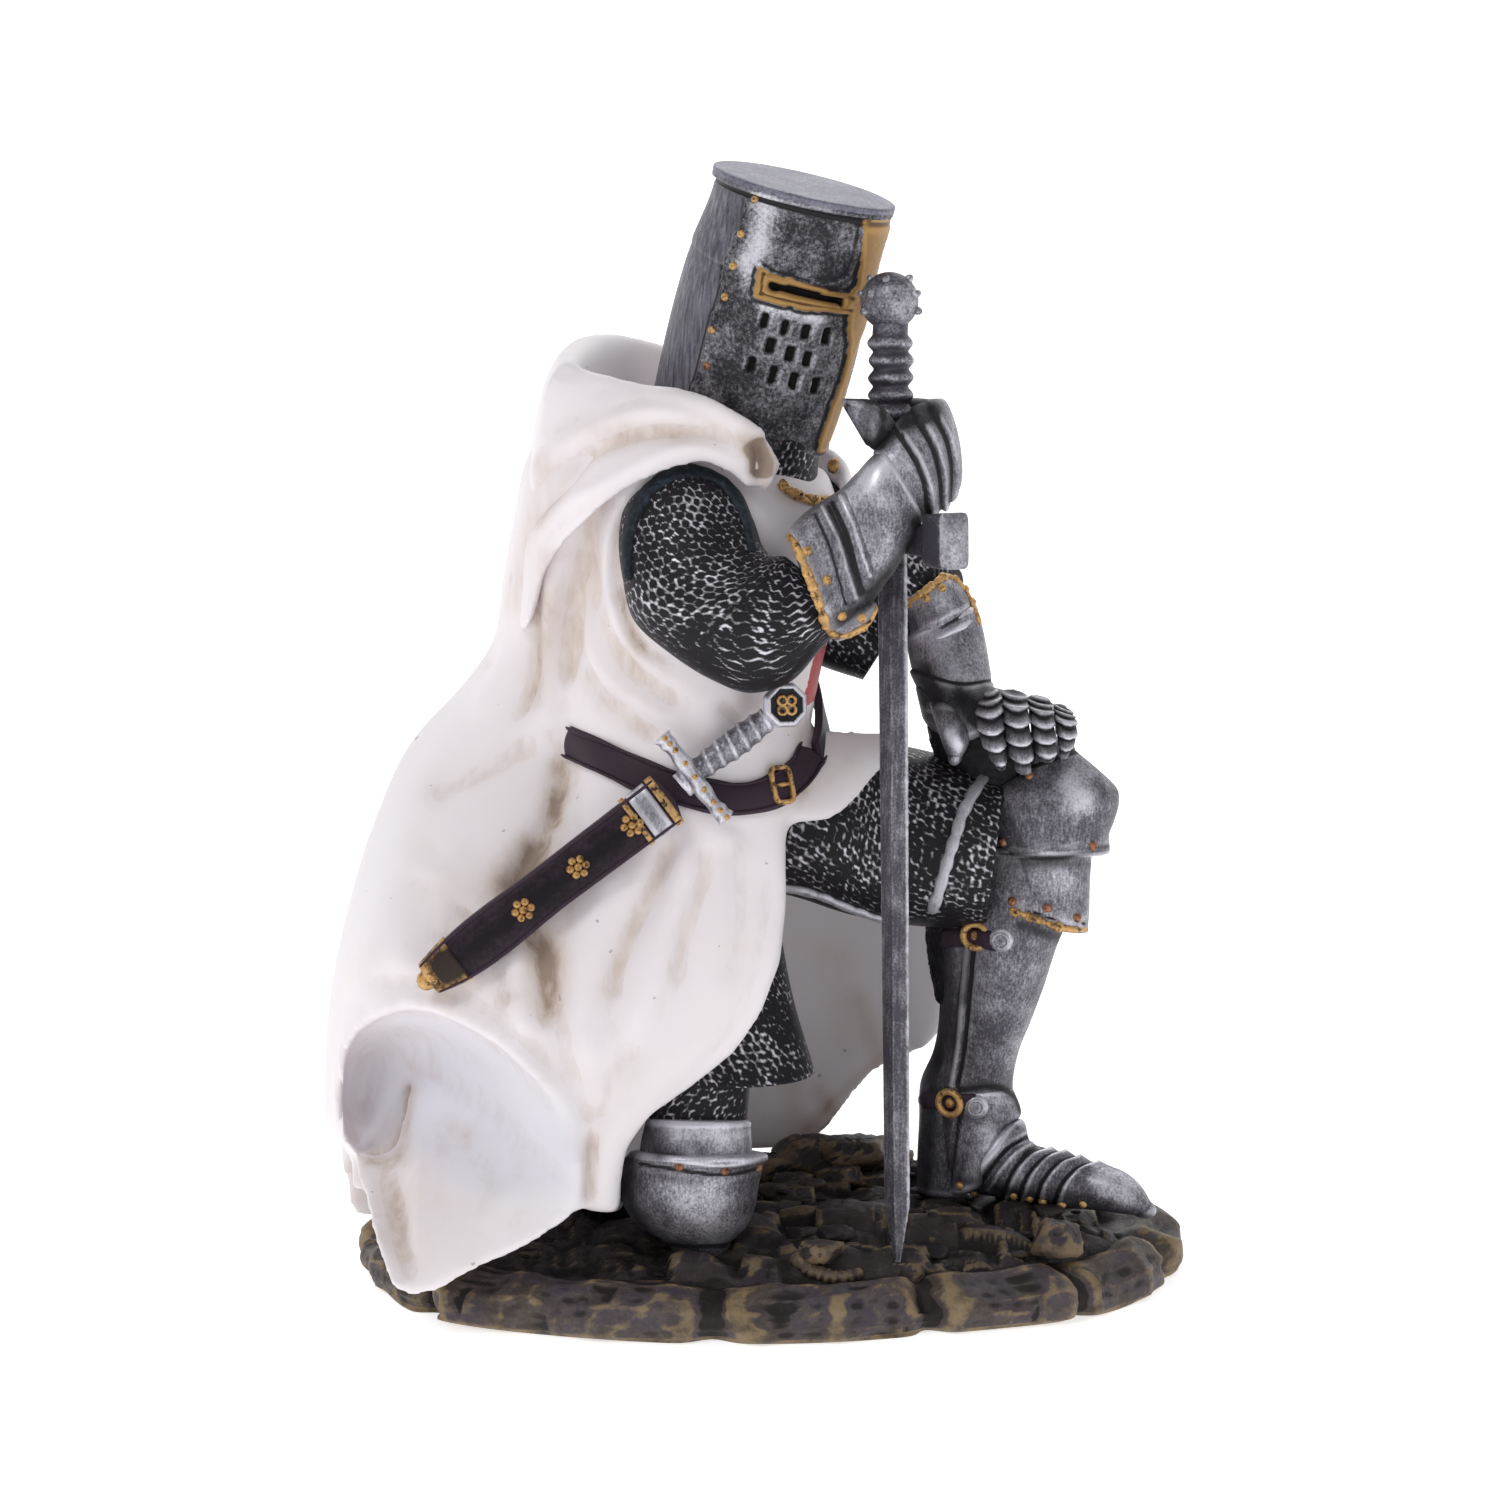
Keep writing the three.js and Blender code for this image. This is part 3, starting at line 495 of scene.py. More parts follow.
class Wire:  # a socket in a paint, with the sums that are done on it
    def __init__(self, tree, socket=None):
        self.tree, self.socket = tree, socket

    def node(self, kind, values=None, out=0, **settings):
        made = self.tree.nodes.new(kind)
        for name, value in settings.items():
            setattr(made, name, value)
        for key, value in (values or {}).items():
            socket = made.inputs[key]
            if isinstance(value, Wire):
                self.tree.links.new(value.socket, socket)
            else:
                socket.default_value = (*value, 1.0) if socket.type == "RGBA" else value
        return Wire(self.tree, made.outputs[out])

    def maths(self, operation, *values):
        return self.node("ShaderNodeMath", dict(enumerate(values)), operation=operation)

    def __add__(self, other): return self.maths("ADD", self, other)
    def __sub__(self, other): return self.maths("SUBTRACT", self, other)
    def __rsub__(self, other): return self.maths("SUBTRACT", other, self)
    def __mul__(self, other): return self.maths("MULTIPLY", self, other)
    __radd__, __rmul__ = __add__, __mul__

    def over(self, low, high):  # 0 below low, 1 above high, soft between
        return self.node("ShaderNodeMapRange", {"Value": self, "From Min": low, "From Max": high},
                         interpolation_type="SMOOTHSTEP")

    def most(self, other):
        return self.maths("MAXIMUM", self, other)

    def least(self, other):
        return self.maths("MINIMUM", self, other)

    def mix(self, a, b):  # colours, with this as the factor
        return self.node("ShaderNodeMix", {0: self, 6: a, 7: b}, out=2, data_type="RGBA")


class Paint:  # a material on the resin, with its noises in millimetres
    def __init__(self, name, **fixed):
        self.material = bpy.data.materials.new(name)
        self.material.use_nodes = True
        self.tree = self.material.node_tree
        self.shader = self.tree.nodes["Principled BSDF"]
        for key, value in fixed.items():
            self.shader.inputs[key.replace("_", " ")].default_value = value
        self.wire = Wire(self.tree)
        self.place = self.wire.node("ShaderNodeTexCoord", out="Object")

    def mark(self, name):
        return self.wire.node("ShaderNodeAttribute", out="Fac", attribute_name=name)

    def noise(self, size, detail=3.0, roughness=0.55, stretch=None):
        at = self.place
        if stretch:
            at = self.wire.node("ShaderNodeMapping", {"Vector": at, "Scale": stretch})
        return self.wire.node("ShaderNodeTexNoise", {"Vector": at, "Scale": 1000.0 / size, "Detail": detail,
                                                      "Roughness": roughness}, out="Fac")

    def bump(self, height, depth, strength=0.5):
        return self.wire.node("ShaderNodeBump", {"Height": height, "Distance": depth * mm, "Strength": strength})

    def feed(self, **links):
        for key, wire in links.items():
            self.tree.links.new(wire.socket, self.shader.inputs[key.replace("_", " ")])
        return self.material


clothPaint = {"white": (0.88, 0.83, 0.86), "warm": (0.82, 0.73, 0.67), "tan": (0.46, 0.33, 0.23),
              "umber": (0.15, 0.095, 0.065), "archShade": (0.76, 0.75, 0.82)}


def paintCloth():
    p = Paint("aged white cloth paint with painted shade", Roughness=0.5, IOR=1.45, Specular_IOR_Level=0.35)
    stain, fine, wide, archShade, red = (p.mark(k) for k in ("stain", "fine", "wide", "archShade", "red"))
    patch, grain = p.noise(12, 4), p.noise(1.6, 4, stretch=(1, 1, 0.35))
    runs = p.noise(4.5, 5, 0.65, stretch=(1, 1, 0.3))
    # painted shade: broad hollows turn warm and tan and fine creases darker; random patches add warmth too
    hollow = (0 - wide).over(0.05, 1.2)
    crease = (0 - fine).over(0.004, 0.05)
    warm = (hollow * 0.5 + patch.over(0.5, 0.8) * 0.3).least(1.0)
    # tan wash and painted shade from the fold marks, with more painted shade in broad hollows
    washAndShade = stain * (runs * 1.2 + patch * 0.5 - 0.1) + hollow * (runs - 0.35) * 0.35
    washAndShade = (washAndShade + crease * 0.22 * grain.over(0.3, 0.7)).least(1.0)
    colour = warm.mix(clothPaint["white"], clothPaint["warm"])
    # painted shade: the inside of the arch is painted cool grey
    colour = (archShade * 0.85).mix(colour, clothPaint["archShade"])
    colour = (washAndShade.over(-0.05, 1.05) * 0.75).mix(colour, clothPaint["tan"])
    colour = (washAndShade.over(0.55, 1.3) * 0.75).mix(colour, clothPaint["umber"])
    speck = p.noise(2.6, 2).over(0.745, 0.765)
    colour = (speck * 0.45).mix(colour, clothPaint["umber"])
    scarlet = patch.over(0.3, 0.7).mix((0.30, 0.010, 0.016), (0.50, 0.018, 0.028))
    colour = red.over(0.4, 0.6).mix(colour, (crease * 0.8).mix(scarlet, (0.05, 0.008, 0.01)))
    sheen = p.noise(5, 3) * 0.18 + 0.4
    normal = p.bump(p.noise(3.2, 3) * 0.6 + grain * 0.25, 0.06, 0.5)
    return p.feed(Base_Color=colour, Roughness=sheen, Normal=normal)


platePaint = {"black": (0.011, 0.010, 0.013), "steel": (0.085, 0.080, 0.098), "silver": (0.70, 0.69, 0.76)}


def paintPlate(name, bright=0.5, streak=(1, 1, 0.25), grain=0.32):
    p = Paint(name, IOR=1.5, Specular_IOR_Level=0.25)
    fine, wide, shadeAndDirt, lit = p.mark("fine"), p.mark("wide"), p.mark("stain"), p.mark("bright")
    brushed = p.noise(grain, 3, 0.6, stretch=streak)
    cloud, patch, pits = p.noise(3.2, 4, 0.6), p.noise(9, 3), p.noise(0.36, 3)
    edge = fine.over(0.02, 0.16) * 0.45 + wide.over(0.0, 0.8) * 0.2
    # the bright mark adds painted highlights
    dry = (edge + (cloud - 0.5) * 0.75 + (patch - 0.5) * 0.5 + bright + lit * (0.5 + pits * 0.5) + (brushed - 0.5) * 0.8
           + (pits - 0.5) * 0.8 - 0.15)
    dry = dry.over(0.05, 1.2)
    # the shade strokes add painted shade
    low = ((0 - fine).over(0.01, 0.08) + (0 - wide).over(0.12,
                                                         0.7) * 0.7 + shadeAndDirt * (cloud * 1.3 + pits * 0.8)).least(1.0)
    colour = dry.mix(platePaint["steel"], platePaint["silver"])
    colour = (low * 0.96).mix(colour, platePaint["black"])
    normal = p.bump(brushed * 0.4 + pits * 0.6, 0.03, 0.5)
    return p.feed(Base_Color=colour, Roughness=0.48 - dry * 0.08 + low * 0.2, Metallic=0.65 * (1 - low * 0.8),
                  Normal=normal)


def paintMail():
    p = Paint("dry brushed mail with painted light", IOR=1.5, Specular_IOR_Level=0.18)
    ring, shadeAndDirt = p.mark("ring"), p.mark("stain")
    cloud, pits = p.noise(6, 3), p.noise(0.45, 2)
    # the ring mark carries painted light, and the mail under the hand gets painted shade
    dry = (ring + (cloud - 0.5) * 0.7 + (pits - 0.5) * 0.5 - shadeAndDirt * 0.8).over(0.26, 0.78)
    colour = dry.mix((0.011, 0.010, 0.013), (0.66, 0.65, 0.72))
    return p.feed(Base_Color=colour, Roughness=0.5 - dry * 0.12, Metallic=dry * 0.6,
                  Normal=p.bump(pits, 0.03, 0.5))


def paintLeather():
    p = Paint("dark leather paint", IOR=1.45, Specular_IOR_Level=0.2)
    fine, stain = p.mark("fine"), p.mark("stain")
    cloud, grain = p.noise(3, 3), p.noise(0.7, 3)
    worn = (fine.over(0.006, 0.05) * 0.8 + (cloud - 0.5) * 0.4 + (grain - 0.5) * 0.5).over(0.25, 0.8)
    colour = worn.mix((0.008, 0.005, 0.009), (0.042, 0.026, 0.040))
    colour = ((0 - fine).over(0.01, 0.06) * 0.8 + stain).least(1.0).mix(colour, (0.008, 0.006, 0.007))
    return p.feed(Base_Color=colour, Roughness=0.4 + grain * 0.2, Normal=p.bump(grain, 0.05, 0.7))


def paintGold(name="old gold paint", light=(0.66, 0.40, 0.16), deep=(0.085, 0.036, 0.012)):
    p = Paint(name, IOR=1.5, Specular_IOR_Level=0.3)
    fine, stain = p.mark("fine"), p.mark("stain")
    cloud, pits = p.noise(1.1, 4, 0.6), p.noise(0.38, 4, 0.65)
    lift = (fine.over(-0.01, 0.12) * 0.8 + (cloud - 0.5) * 1.9 + (pits - 0.5) * 2.0 - 0.1).over(-0.25, 0.95)
    colour = lift.mix(deep, light)
    low = ((0 - fine).over(0.0, 0.04) * 0.9 + (0.45 - cloud).over(0.0, 0.08) * 0.7 + stain).least(1.0)
    colour = low.mix(colour, (0.022, 0.012, 0.008))
    return p.feed(Base_Color=colour, Roughness=0.42 + pits * 0.15, Metallic=0.55 * (1 - low),
                  Normal=p.bump(pits, 0.05, 0.7))


def paintTrim():
    p = Paint("dark blue hem paint", IOR=1.45, Specular_IOR_Level=0.3)
    weave, cloud = p.noise(0.8, 3), p.noise(3, 3)
    colour = (weave * 0.6 + cloud * 0.4).over(0.4, 0.75).mix((0.006, 0.009, 0.014), (0.035, 0.052, 0.07))
    return p.feed(Base_Color=colour, Roughness=0.5 + weave * 0.15, Normal=p.bump(weave, 0.08, 0.7))


rockPaint = {"dark": (0.016, 0.012, 0.012), "umber": (0.060, 0.046, 0.036), "violet": (0.066, 0.054, 0.070),
             "ochre": (0.30, 0.215, 0.115)}


def paintRock():
    p = Paint("rock paint", IOR=1.45, Specular_IOR_Level=0.3)
    fine, wide, stain, inside = (p.mark(k) for k in ("fine", "wide", "stain", "inside"))
    patch, mid, grit, dust = p.noise(8, 4), p.noise(2.2, 5, 0.7), p.noise(0.6, 3), p.noise(4, 4, 0.7)
    colour = patch.over(0.4, 0.62).mix(rockPaint["umber"], rockPaint["violet"])
    colour = (mid.over(0.35, 0.75) * 0.8).mix(colour, (0.125, 0.104, 0.092))
    colour = (inside * 0.7).least(1.0).mix(colour, (0.020, 0.015, 0.019))
    edge = (fine + (mid - 0.5) * 0.13 + (grit - 0.5) * 0.13 - inside * 0.03).over(0.07, 0.2)
    scuff = (grit - 0.5 + (mid - 0.5) * 0.8).over(0.1, 0.35) * 0.35
    worn = (edge + scuff).least(1.0) * dust.over(0.28, 0.6) * (0.8 - inside * 0.3).most(0.0)
    colour = worn.mix(colour, rockPaint["ochre"])
    low = ((0 - fine).over(0.0, 0.08) + (0.08 - wide).over(0.1, 0.8) * 0.8 + stain).least(1.0)
    colour = (low * 0.92).mix(colour, rockPaint["dark"])
    return p.feed(Base_Color=colour, Roughness=0.40 + grit * 0.25, Normal=p.bump(mid * 0.6 + grit * 0.4, 0.38, 1.0))


# white cloth: surcoat, cloak, cowl and the turned-out hem

cloth = {
    "voxel": 0.84, "cowlVoxel": 0.64,
    "cross": [(826, 640), (827, 656), (829, 680), (818, 700), (801, 706), (806, 690), (812, 664), (818, 645)],
    "surcoat": [[-9, -12, 60, 16.6, 16], [-9, -12, 74, 17.4, 17.2], [-8, -12, 82, 18.2, 17.6],
                [-6, -13, 91, 19.2, 17.2], [-4, -13, 99, 19.5, 15.5], [-2, -13, 106, 18, 13], [0, -13, 112, 13, 10]],
    "skirt": [[-34.5, -22, -4, 22.5, 22], [-33.8, -22.5, 15, 22.8, 22], [-26.8, -21.3, 24, 25.8, 22],
              [-16.2, -19, 34, 25.2, 22], [-10.4, -17, 44, 22.4, 21.5], [-8.7, -14.8, 56, 19.7, 19],
              [-8.4, -12.8, 66, 17.9, 17.2], [-9, -12, 76, 15, 15]],
    "cloak": [[-29.5, -9, -4, 32.5, 32.5], [-30, -9, 10, 33.5, 33.5], [-29, -7.5, 28, 34.3, 34.3],
              [-28, -5, 44, 32.5, 32.5], [-27, -2, 57, 26.8, 30.5], [-26.2, 3, 69, 20, 26.2],
              [-22, 3, 77, 19, 22.6], [-18.8, 2, 84, 19, 20.6], [-17.2, -1.5, 94, 20, 20.2],
              [-15.8, -6.5, 104, 19.6, 19.4], [-14.5, -10, 114, 18, 18.5], [-14, -9, 120, 14, 15.5]],
    # the cowl: for each station its low edge, its top edge and its thickness; near ones by their place in the picture
    "cowl": [[("at", 775, 494, -30.5), ("at", 783, 462, -29.5), 2],
             [("at", 752, 490, -32.5), ("at", 768, 434, -31), 3.4],
             [("at", 712, 462, -34), ("at", 735, 408, -30.5), 4.4],
             [("at", 655, 470, -34), ("at", 690, 386, -29), 4.6],
             [("at", 598, 500, -32), ("at", 632, 377, -26), 5.2],
             [("at", 553, 540, -26.5), ("at", 577, 366, -20.5), 5.6],
             [("at", 502, 632, -12), ("at", 549, 357, -18), 7],
             [("mm", -38.6, 3, 95), ("mm", -27.5, 4, 131.5), 10],
             [("mm", -31.6, 17, 96), ("mm", -20, 12.5, 131), 9],
             [("mm", -17, 22, 100), ("mm", -8, 13, 127.5), 7],
             [("mm", -2, 20.5, 103), ("mm", 2, 9.5, 121), 4],
             [("mm", 10.5, 12, 106), ("mm", 9.5, 3.5, 116), 3.4],
             [("mm", 16.5, 1, 107), ("mm", 14, -4, 113), 2.6],
             [("mm", 16.5, -9, 105), ("mm", 14.5, -11, 109), 1.8]],
    "opening": [(-19, -6), (-19, 9), (-18, 15.5), (-14.5, 20.5), (-8.5, 24.4), (-2.5, 29), (1.5, 35), (4.4, 42),
                (5.2, 50), (5.2, 62), (60, 62), (60, -6)],
    "hollow": [[6, 0, -5, 21, 28], [6, 0, 18, 20, 26], [4, 0, 36, 17, 20], [2, -1, 48, 12, 14]],
    "farPanel": [[(-14, 12, 66), (2, 14, 62), (16, 13, 58)], [(-14, 19, 36), (8, 22, 36), (31, 20, 36)],
                 [(-18, 22, 18.5), (6, 24, 18.5), (28.6, 21, 18.5)], [(-18.5, 22, 14), (3, 24.2, 14), (20.5, 22, 14)],
                 [(-19.5, 22, 7), (0, 24.4, 7), (14.5, 23.4, 7)], [(-20, 22, 0), (-2, 24.5, 0), (9.8, 24, 1)]],
    "thighFlap": [[(2, -18, 73), (11, -13, 72.5), (21, -8, 71.5)], [(3, -24, 67), (11, -20.5, 67.5), (20.5, -13, 69.8)],
                  [(4, -27, 61.2), (11.5, -23.5, 61), (20.5, -15, 68.2)]],
    # the arch of the turned-out hem, by its places in the picture
    "rim": [(360, 1152), (346, 1138), (342, 1101), (345, 1060), (355, 1034), (379, 1017), (406, 1009), (430, 1011),
            (463, 1024), (499, 1045), (534, 1078), (560, 1106), (577, 1130), (585, 1156), (585, 1179), (579, 1203)],
    "under": [(596, 1240), (560, 1330), (330, 1345), (290, 1200), (352, 1166)],
    "tail": [(560, 1208), (592, 1211), (612, 1213), (640, 1208), (670, 1345), (540, 1345)],
    "bowl": [[(352, 1150, -17), (341, 1100, -13), (349, 1045, -15), (385, 1013, -21), (430, 1009, -26),
              (500, 1044, -33), (562, 1106, -41), (587, 1160, -45)],
             [(360, 1155, -18), (356, 1105, -9), (368, 1060, -9), (400, 1036, -14), (440, 1034, -20),
              (500, 1068, -29), (550, 1122, -39), (583, 1168, -44.5)],
             [(368, 1156, -19), (383, 1126, -14), (394, 1104, -13), (412, 1083, -14), (446, 1078, -18),
              (500, 1098, -27), (545, 1140, -38.5), (581, 1176, -44.5)]],
    "flap": [[(412, 1082, -16), (422, 1077, -17), (434, 1075, -18), (450, 1076, -19), (500, 1095, -25),
              (545, 1137, -38), (581, 1174, -44.4)],
             [(404, 1126, -19), (414, 1124, -21), (428, 1122, -24), (452, 1124, -25.5), (500, 1136, -31),
              (545, 1162, -39.5), (583, 1184, -44.4)],
             [(392, 1152, -22), (406, 1154, -25), (424, 1152, -29), (452, 1154, -30), (502, 1160, -34),
              (545, 1175, -40.5), (583, 1190, -44.2)],
             [(358, 1162, -24), (394, 1172, -27), (422, 1172, -33), (454, 1174, -34), (503, 1176, -36),
              (545, 1184, -41.2), (582, 1194, -44.1)],
             [(364, 1196, -31), (396, 1200, -31), (424, 1200, -37), (455, 1198, -37.5), (503, 1196, -39),
              (545, 1196, -42), (582, 1198, -44)],
             [(377, 1240, -40), (404, 1246, -37), (430, 1248, -43), (458, 1242, -43), (505, 1230, -42.5),
              (545, 1216, -43), (580, 1205, -43.5)],
             [(392, 1287, -45.5), (409, 1293, -45), (432, 1293, -46), (458, 1278, -46), (502, 1258, -45.5),
              (542, 1236, -45), (577, 1214, -43.5)]],
    "lining": [[(352, 1082, -9), (390, 1070, -10), (430, 1066, -12)],
               [(348, 1130, -12), (390, 1130, -13.5), (432, 1130, -15)],
               [(350, 1190, -17), (392, 1196, -18.5), (436, 1196, -20)]],
    "spike": [(296, 1108), (320, 1110), (334, 1136), (354, 1153), (356, 1182), (286, 1204)],
}

# folds in the picture: [line, width in pixels, depth in mm, tan wash and painted shade along the fold]; a valley is
# minus
cowlFolds = [
    [[(720, 424), (680, 412), (629, 411), (590, 431), (552, 457), (533, 473), (518, 495)], 12, 1, 0],
    [[(742, 452), (700, 432), (660, 430), (622, 438), (584, 455), (552, 489), (533, 511), (514, 550), (502, 600)], 10,
     -1.6, 0.5],
    [[(752, 470), (700, 446), (654, 459), (607, 483), (562, 508), (533, 541), (517, 579)], 9, 1, 0],
    [[(560, 372), (552, 420), (545, 450)], 16, 0.6, 0],
    [[(640, 392), (700, 402), (745, 430), (770, 452)], 12, 0.7, 0],
    [[(600, 416), (640, 402), (700, 414), (744, 440)], 7, -0.7, 0.25],
    [[(585, 396), (620, 384), (668, 388), (710, 398)], 9, -0.5, 0.08],
    [[(540, 400), (530, 440), (520, 470)], 9, -0.5, 0.15],
    [[(754, 438), (763, 456), (761, 480)], 7, -2.8, 4.5],
    [[(742, 440), (768, 432), (782, 458), (776, 490)], 5, 0.7, 0],
]
gownFolds = [
    # cloak and side of the surcoat
    [[(612, 470), (590, 520), (578, 572), (571, 640), (569, 700)], 13, -2.6, 0.5],
    [[(700, 450), (664, 456), (634, 484), (614, 520), (608, 560), (613, 600), (628, 640), (655, 668), (690, 690)], 6,
     0.9, 0],
    [[(640, 500), (620, 528), (617, 570), (626, 612), (640, 645), (668, 664)], 4, -0.5, 0.9],
    [[(597, 540), (592, 580), (600, 620), (616, 650), (650, 684), (700, 712)], 8, -1, 0.35],
    [[(588, 560), (580, 610), (590, 650), (612, 680), (650, 708), (690, 730)], 7, 0.9, 0],
    [[(581, 660), (592, 690), (629, 722), (662, 745)], 8, -1.3, 0.5],
    [[(574, 650), (582, 680), (600, 704), (636, 728)], 7, 0.9, 0],
    [[(556, 560), (552, 620), (556, 690), (548, 740)], 13, 1.2, 0],
    [[(536, 560), (532, 620), (530, 680), (508, 730)], 10, -1.2, 0.28],
    [[(540, 735), (500, 760), (457, 781), (420, 800)], 14, -1.3, 0.25],
    [[(533, 560), (514, 620), (497, 680), (470, 720)], 14, 0.9, 0],
    [[(508, 560), (498, 620), (480, 680)], 9, -0.9, 0.4],
    [[(700, 640), (740, 670), (780, 700)], 12, -0.6, 0.2],
    [[(716, 700), (740, 722), (770, 735)], 8, -0.8, 0.35],
    [[(560, 752), (556, 800), (546, 830)], 8, -1.2, 0.8],
    # under the belt and the scabbard
    [[(556, 820), (530, 852), (516, 880), (524, 920), (540, 950), (546, 990), (544, 1040)], 12, -2.6, 1],
    [[(470, 905), (452, 930), (440, 950)], 14, -1, 0.5],
    [[(492, 930), (500, 970), (508, 1010)], 12, -0.9, 0.35],
    [[(506, 940), (516, 990), (524, 1040)], 8, 0.9, 0],
    [[(672, 828), (664, 862), (640, 910), (618, 960), (606, 1010)], 10, -1.7, 0.5],
    [[(700, 838), (706, 866), (694, 900), (680, 950), (676, 990)], 9, -1.4, 0.35],
    [[(690, 835), (688, 870), (668, 930), (646, 990), (630, 1040)], 11, 1, 0],
    [[(730, 830), (742, 880), (740, 940), (728, 990)], 13, -0.8, 0.12],
    [[(620, 850), (600, 900), (590, 960), (584, 1020), (590, 1080)], 20, 1.3, 0],
    [[(560, 960), (562, 1020), (574, 1080), (592, 1140)], 11, -1, 0.18],
    [[(440, 850), (400, 900), (372, 960), (356, 1010)], 28, 1, 0],
    [[(430, 870), (425, 930), (440, 985)], 20, -1.1, 0.12],
    [[(470, 840), (440, 880), (412, 930), (400, 980)], 16, 0.6, 0],
    [[(777, 840), (782, 880), (770, 960), (750, 1030), (712, 1090), (660, 1130)], 6, 0.6, 0],
    [[(764, 850), (766, 900), (752, 975), (728, 1035), (690, 1080), (650, 1110)], 9, -0.6, 0],
    [[(640, 1040), (610, 1080), (600, 1130)], 12, -0.7, 0.1],
    # the arch
    [[(362, 1150), (343, 1136), (338, 1100), (343, 1054), (356, 1030), (381, 1013), (409, 1005), (430, 1007),
      (465, 1020), (501, 1041), (537, 1074), (564, 1103), (582, 1128), (590, 1156)], 6, 0.6, 0],
    [[(350, 990), (390, 982), (430, 984), (480, 1004), (530, 1046), (570, 1086)], 12, -0.7, 0.08],
    [[(592, 1126), (594, 1165), (590, 1206)], 6, -1.2, 0.6],
    [[(418, 1100), (424, 1160), (420, 1210), (410, 1260)], 8, 0.6, 0],
    [[(470, 1130), (500, 1160), (505, 1200), (486, 1240)], 14, 0.6, 0],
]
nearShadeAndStains = [  # soft tan washes and painted fold shade on the near side: [line, width in pixels, strength]
    [[(590, 425), (560, 445)], 14, 0.2], [[(540, 352), (600, 350)], 12, 0.14], [[(640, 350), (665, 352)], 9, 0.3],
    [[(600, 432), (640, 428), (680, 440)], 9, 0.3], [[(546, 470), (526, 530), (508, 600)], 14, 0.6],
    [[(575, 468), (545, 520)], 8, 0.4],
    [[(560, 560), (548, 640), (542, 700)], 12, 0.4],
    [[(560, 770), (545, 830), (500, 880)], 22, 0.4], [[(540, 850), (560, 900), (555, 960)], 16, 0.4],
    [[(462, 985), (520, 1000)], 14, 0.25], [[(640, 690), (690, 735), (720, 745)], 14, 0.25],
    [[(748, 700), (770, 720)], 10, 0.4], [[(370, 1160), (400, 1160)], 5, 0.5],
    [[(411, 1090), (406, 1125), (400, 1150)], 7, 0.7], [[(386, 1170), (390, 1205), (398, 1240)], 40, 0.5],
    [[(470, 1130), (490, 1160), (497, 1190)], 10, 0.28],
    [[(447, 1120), (462, 1140)], 8, 0.25], [[(588, 1150), (589, 1206)], 8, 0.4], [[(400, 1070), (430, 1065)], 14, 0.2],
    [[(742, 440), (764, 470)], 8, 0.6], [[(770, 490), (790, 500)], 6, 0.5],
    [[(450, 880), (500, 900), (540, 960)], 24, 0.22],
    [[(620, 600), (640, 650), (700, 690)], 9, 0.3], [[(800, 800), (850, 760)], 10, 0.35],
    [[(775, 770), (800, 790)], 8, 0.5],
    [[(620, 660), (606, 700)], 14, 0.25], [[(640, 1100), (600, 1130)], 16, 0.15], [[(330, 1160), (350, 1200)], 12, 0.3],
    [[(545, 560), (540, 640), (530, 700)], 12, 0.35],
]
farShadeAndStains = [  # the same washes and painted shade on the hanging far side, seen under the thigh in shadow
    [[(812, 1148), (836, 1120), (860, 1094), (884, 1075), (926, 1056)], 4, 2.6],
    [[(808, 1130), (840, 1095), (880, 1060)], 7, 0.55],
    [[(836, 960), (846, 1040)], 24, 0.35], [[(786, 1070), (800, 1130)], 16, 0.5], [[(860, 1000), (876, 1050)], 12, 0.4],
    [[(900, 950), (905, 1040)], 12, 0.35], [[(820, 1090), (832, 1110)], 10, 0.6],
]


def station(spot):
    return atPixel(*spot[1:]) if spot[0] == "at" else np.array([spot[1], spot[2], spot[3] + ground])


def cowlShell():
    rows = np.array([[*station(low), *station(top), thick] for low, top, thick in cloth["cowl"]])
    rows = between(rows, evenly(rows, 1.0)[0])
    low, top, thick = rows[:, :3], rows[:, 3:6], rows[:, 6]
    middleLine, rise = (low + top) / 2, top - low
    outward = unit(np.cross(unit(np.gradient(middleLine, axis=0)), rise))
    if (outward * (middleLine - [-8.0, -11.0, 0])).sum() < 0:
        outward = -outward
    _, c, s = oval(40, 2.6, 2.4)
    bulge = s * (0.62 - 0.38 * c) * thick[:, None] * 0.62 - thick[:, None] * 0.45  # thinner towards the low edge
    return shell(middleLine[:, None] + (rise / 2)[:, None] * -c[None, :, None] + outward[:, None] * bulge[..., None])


def sheet(rows, thickness=1.8, inside=0.5):
    return slab(sheetGrid([[atPixel(*p) for p in row] for row in rows], 0.7), thickness, inside)


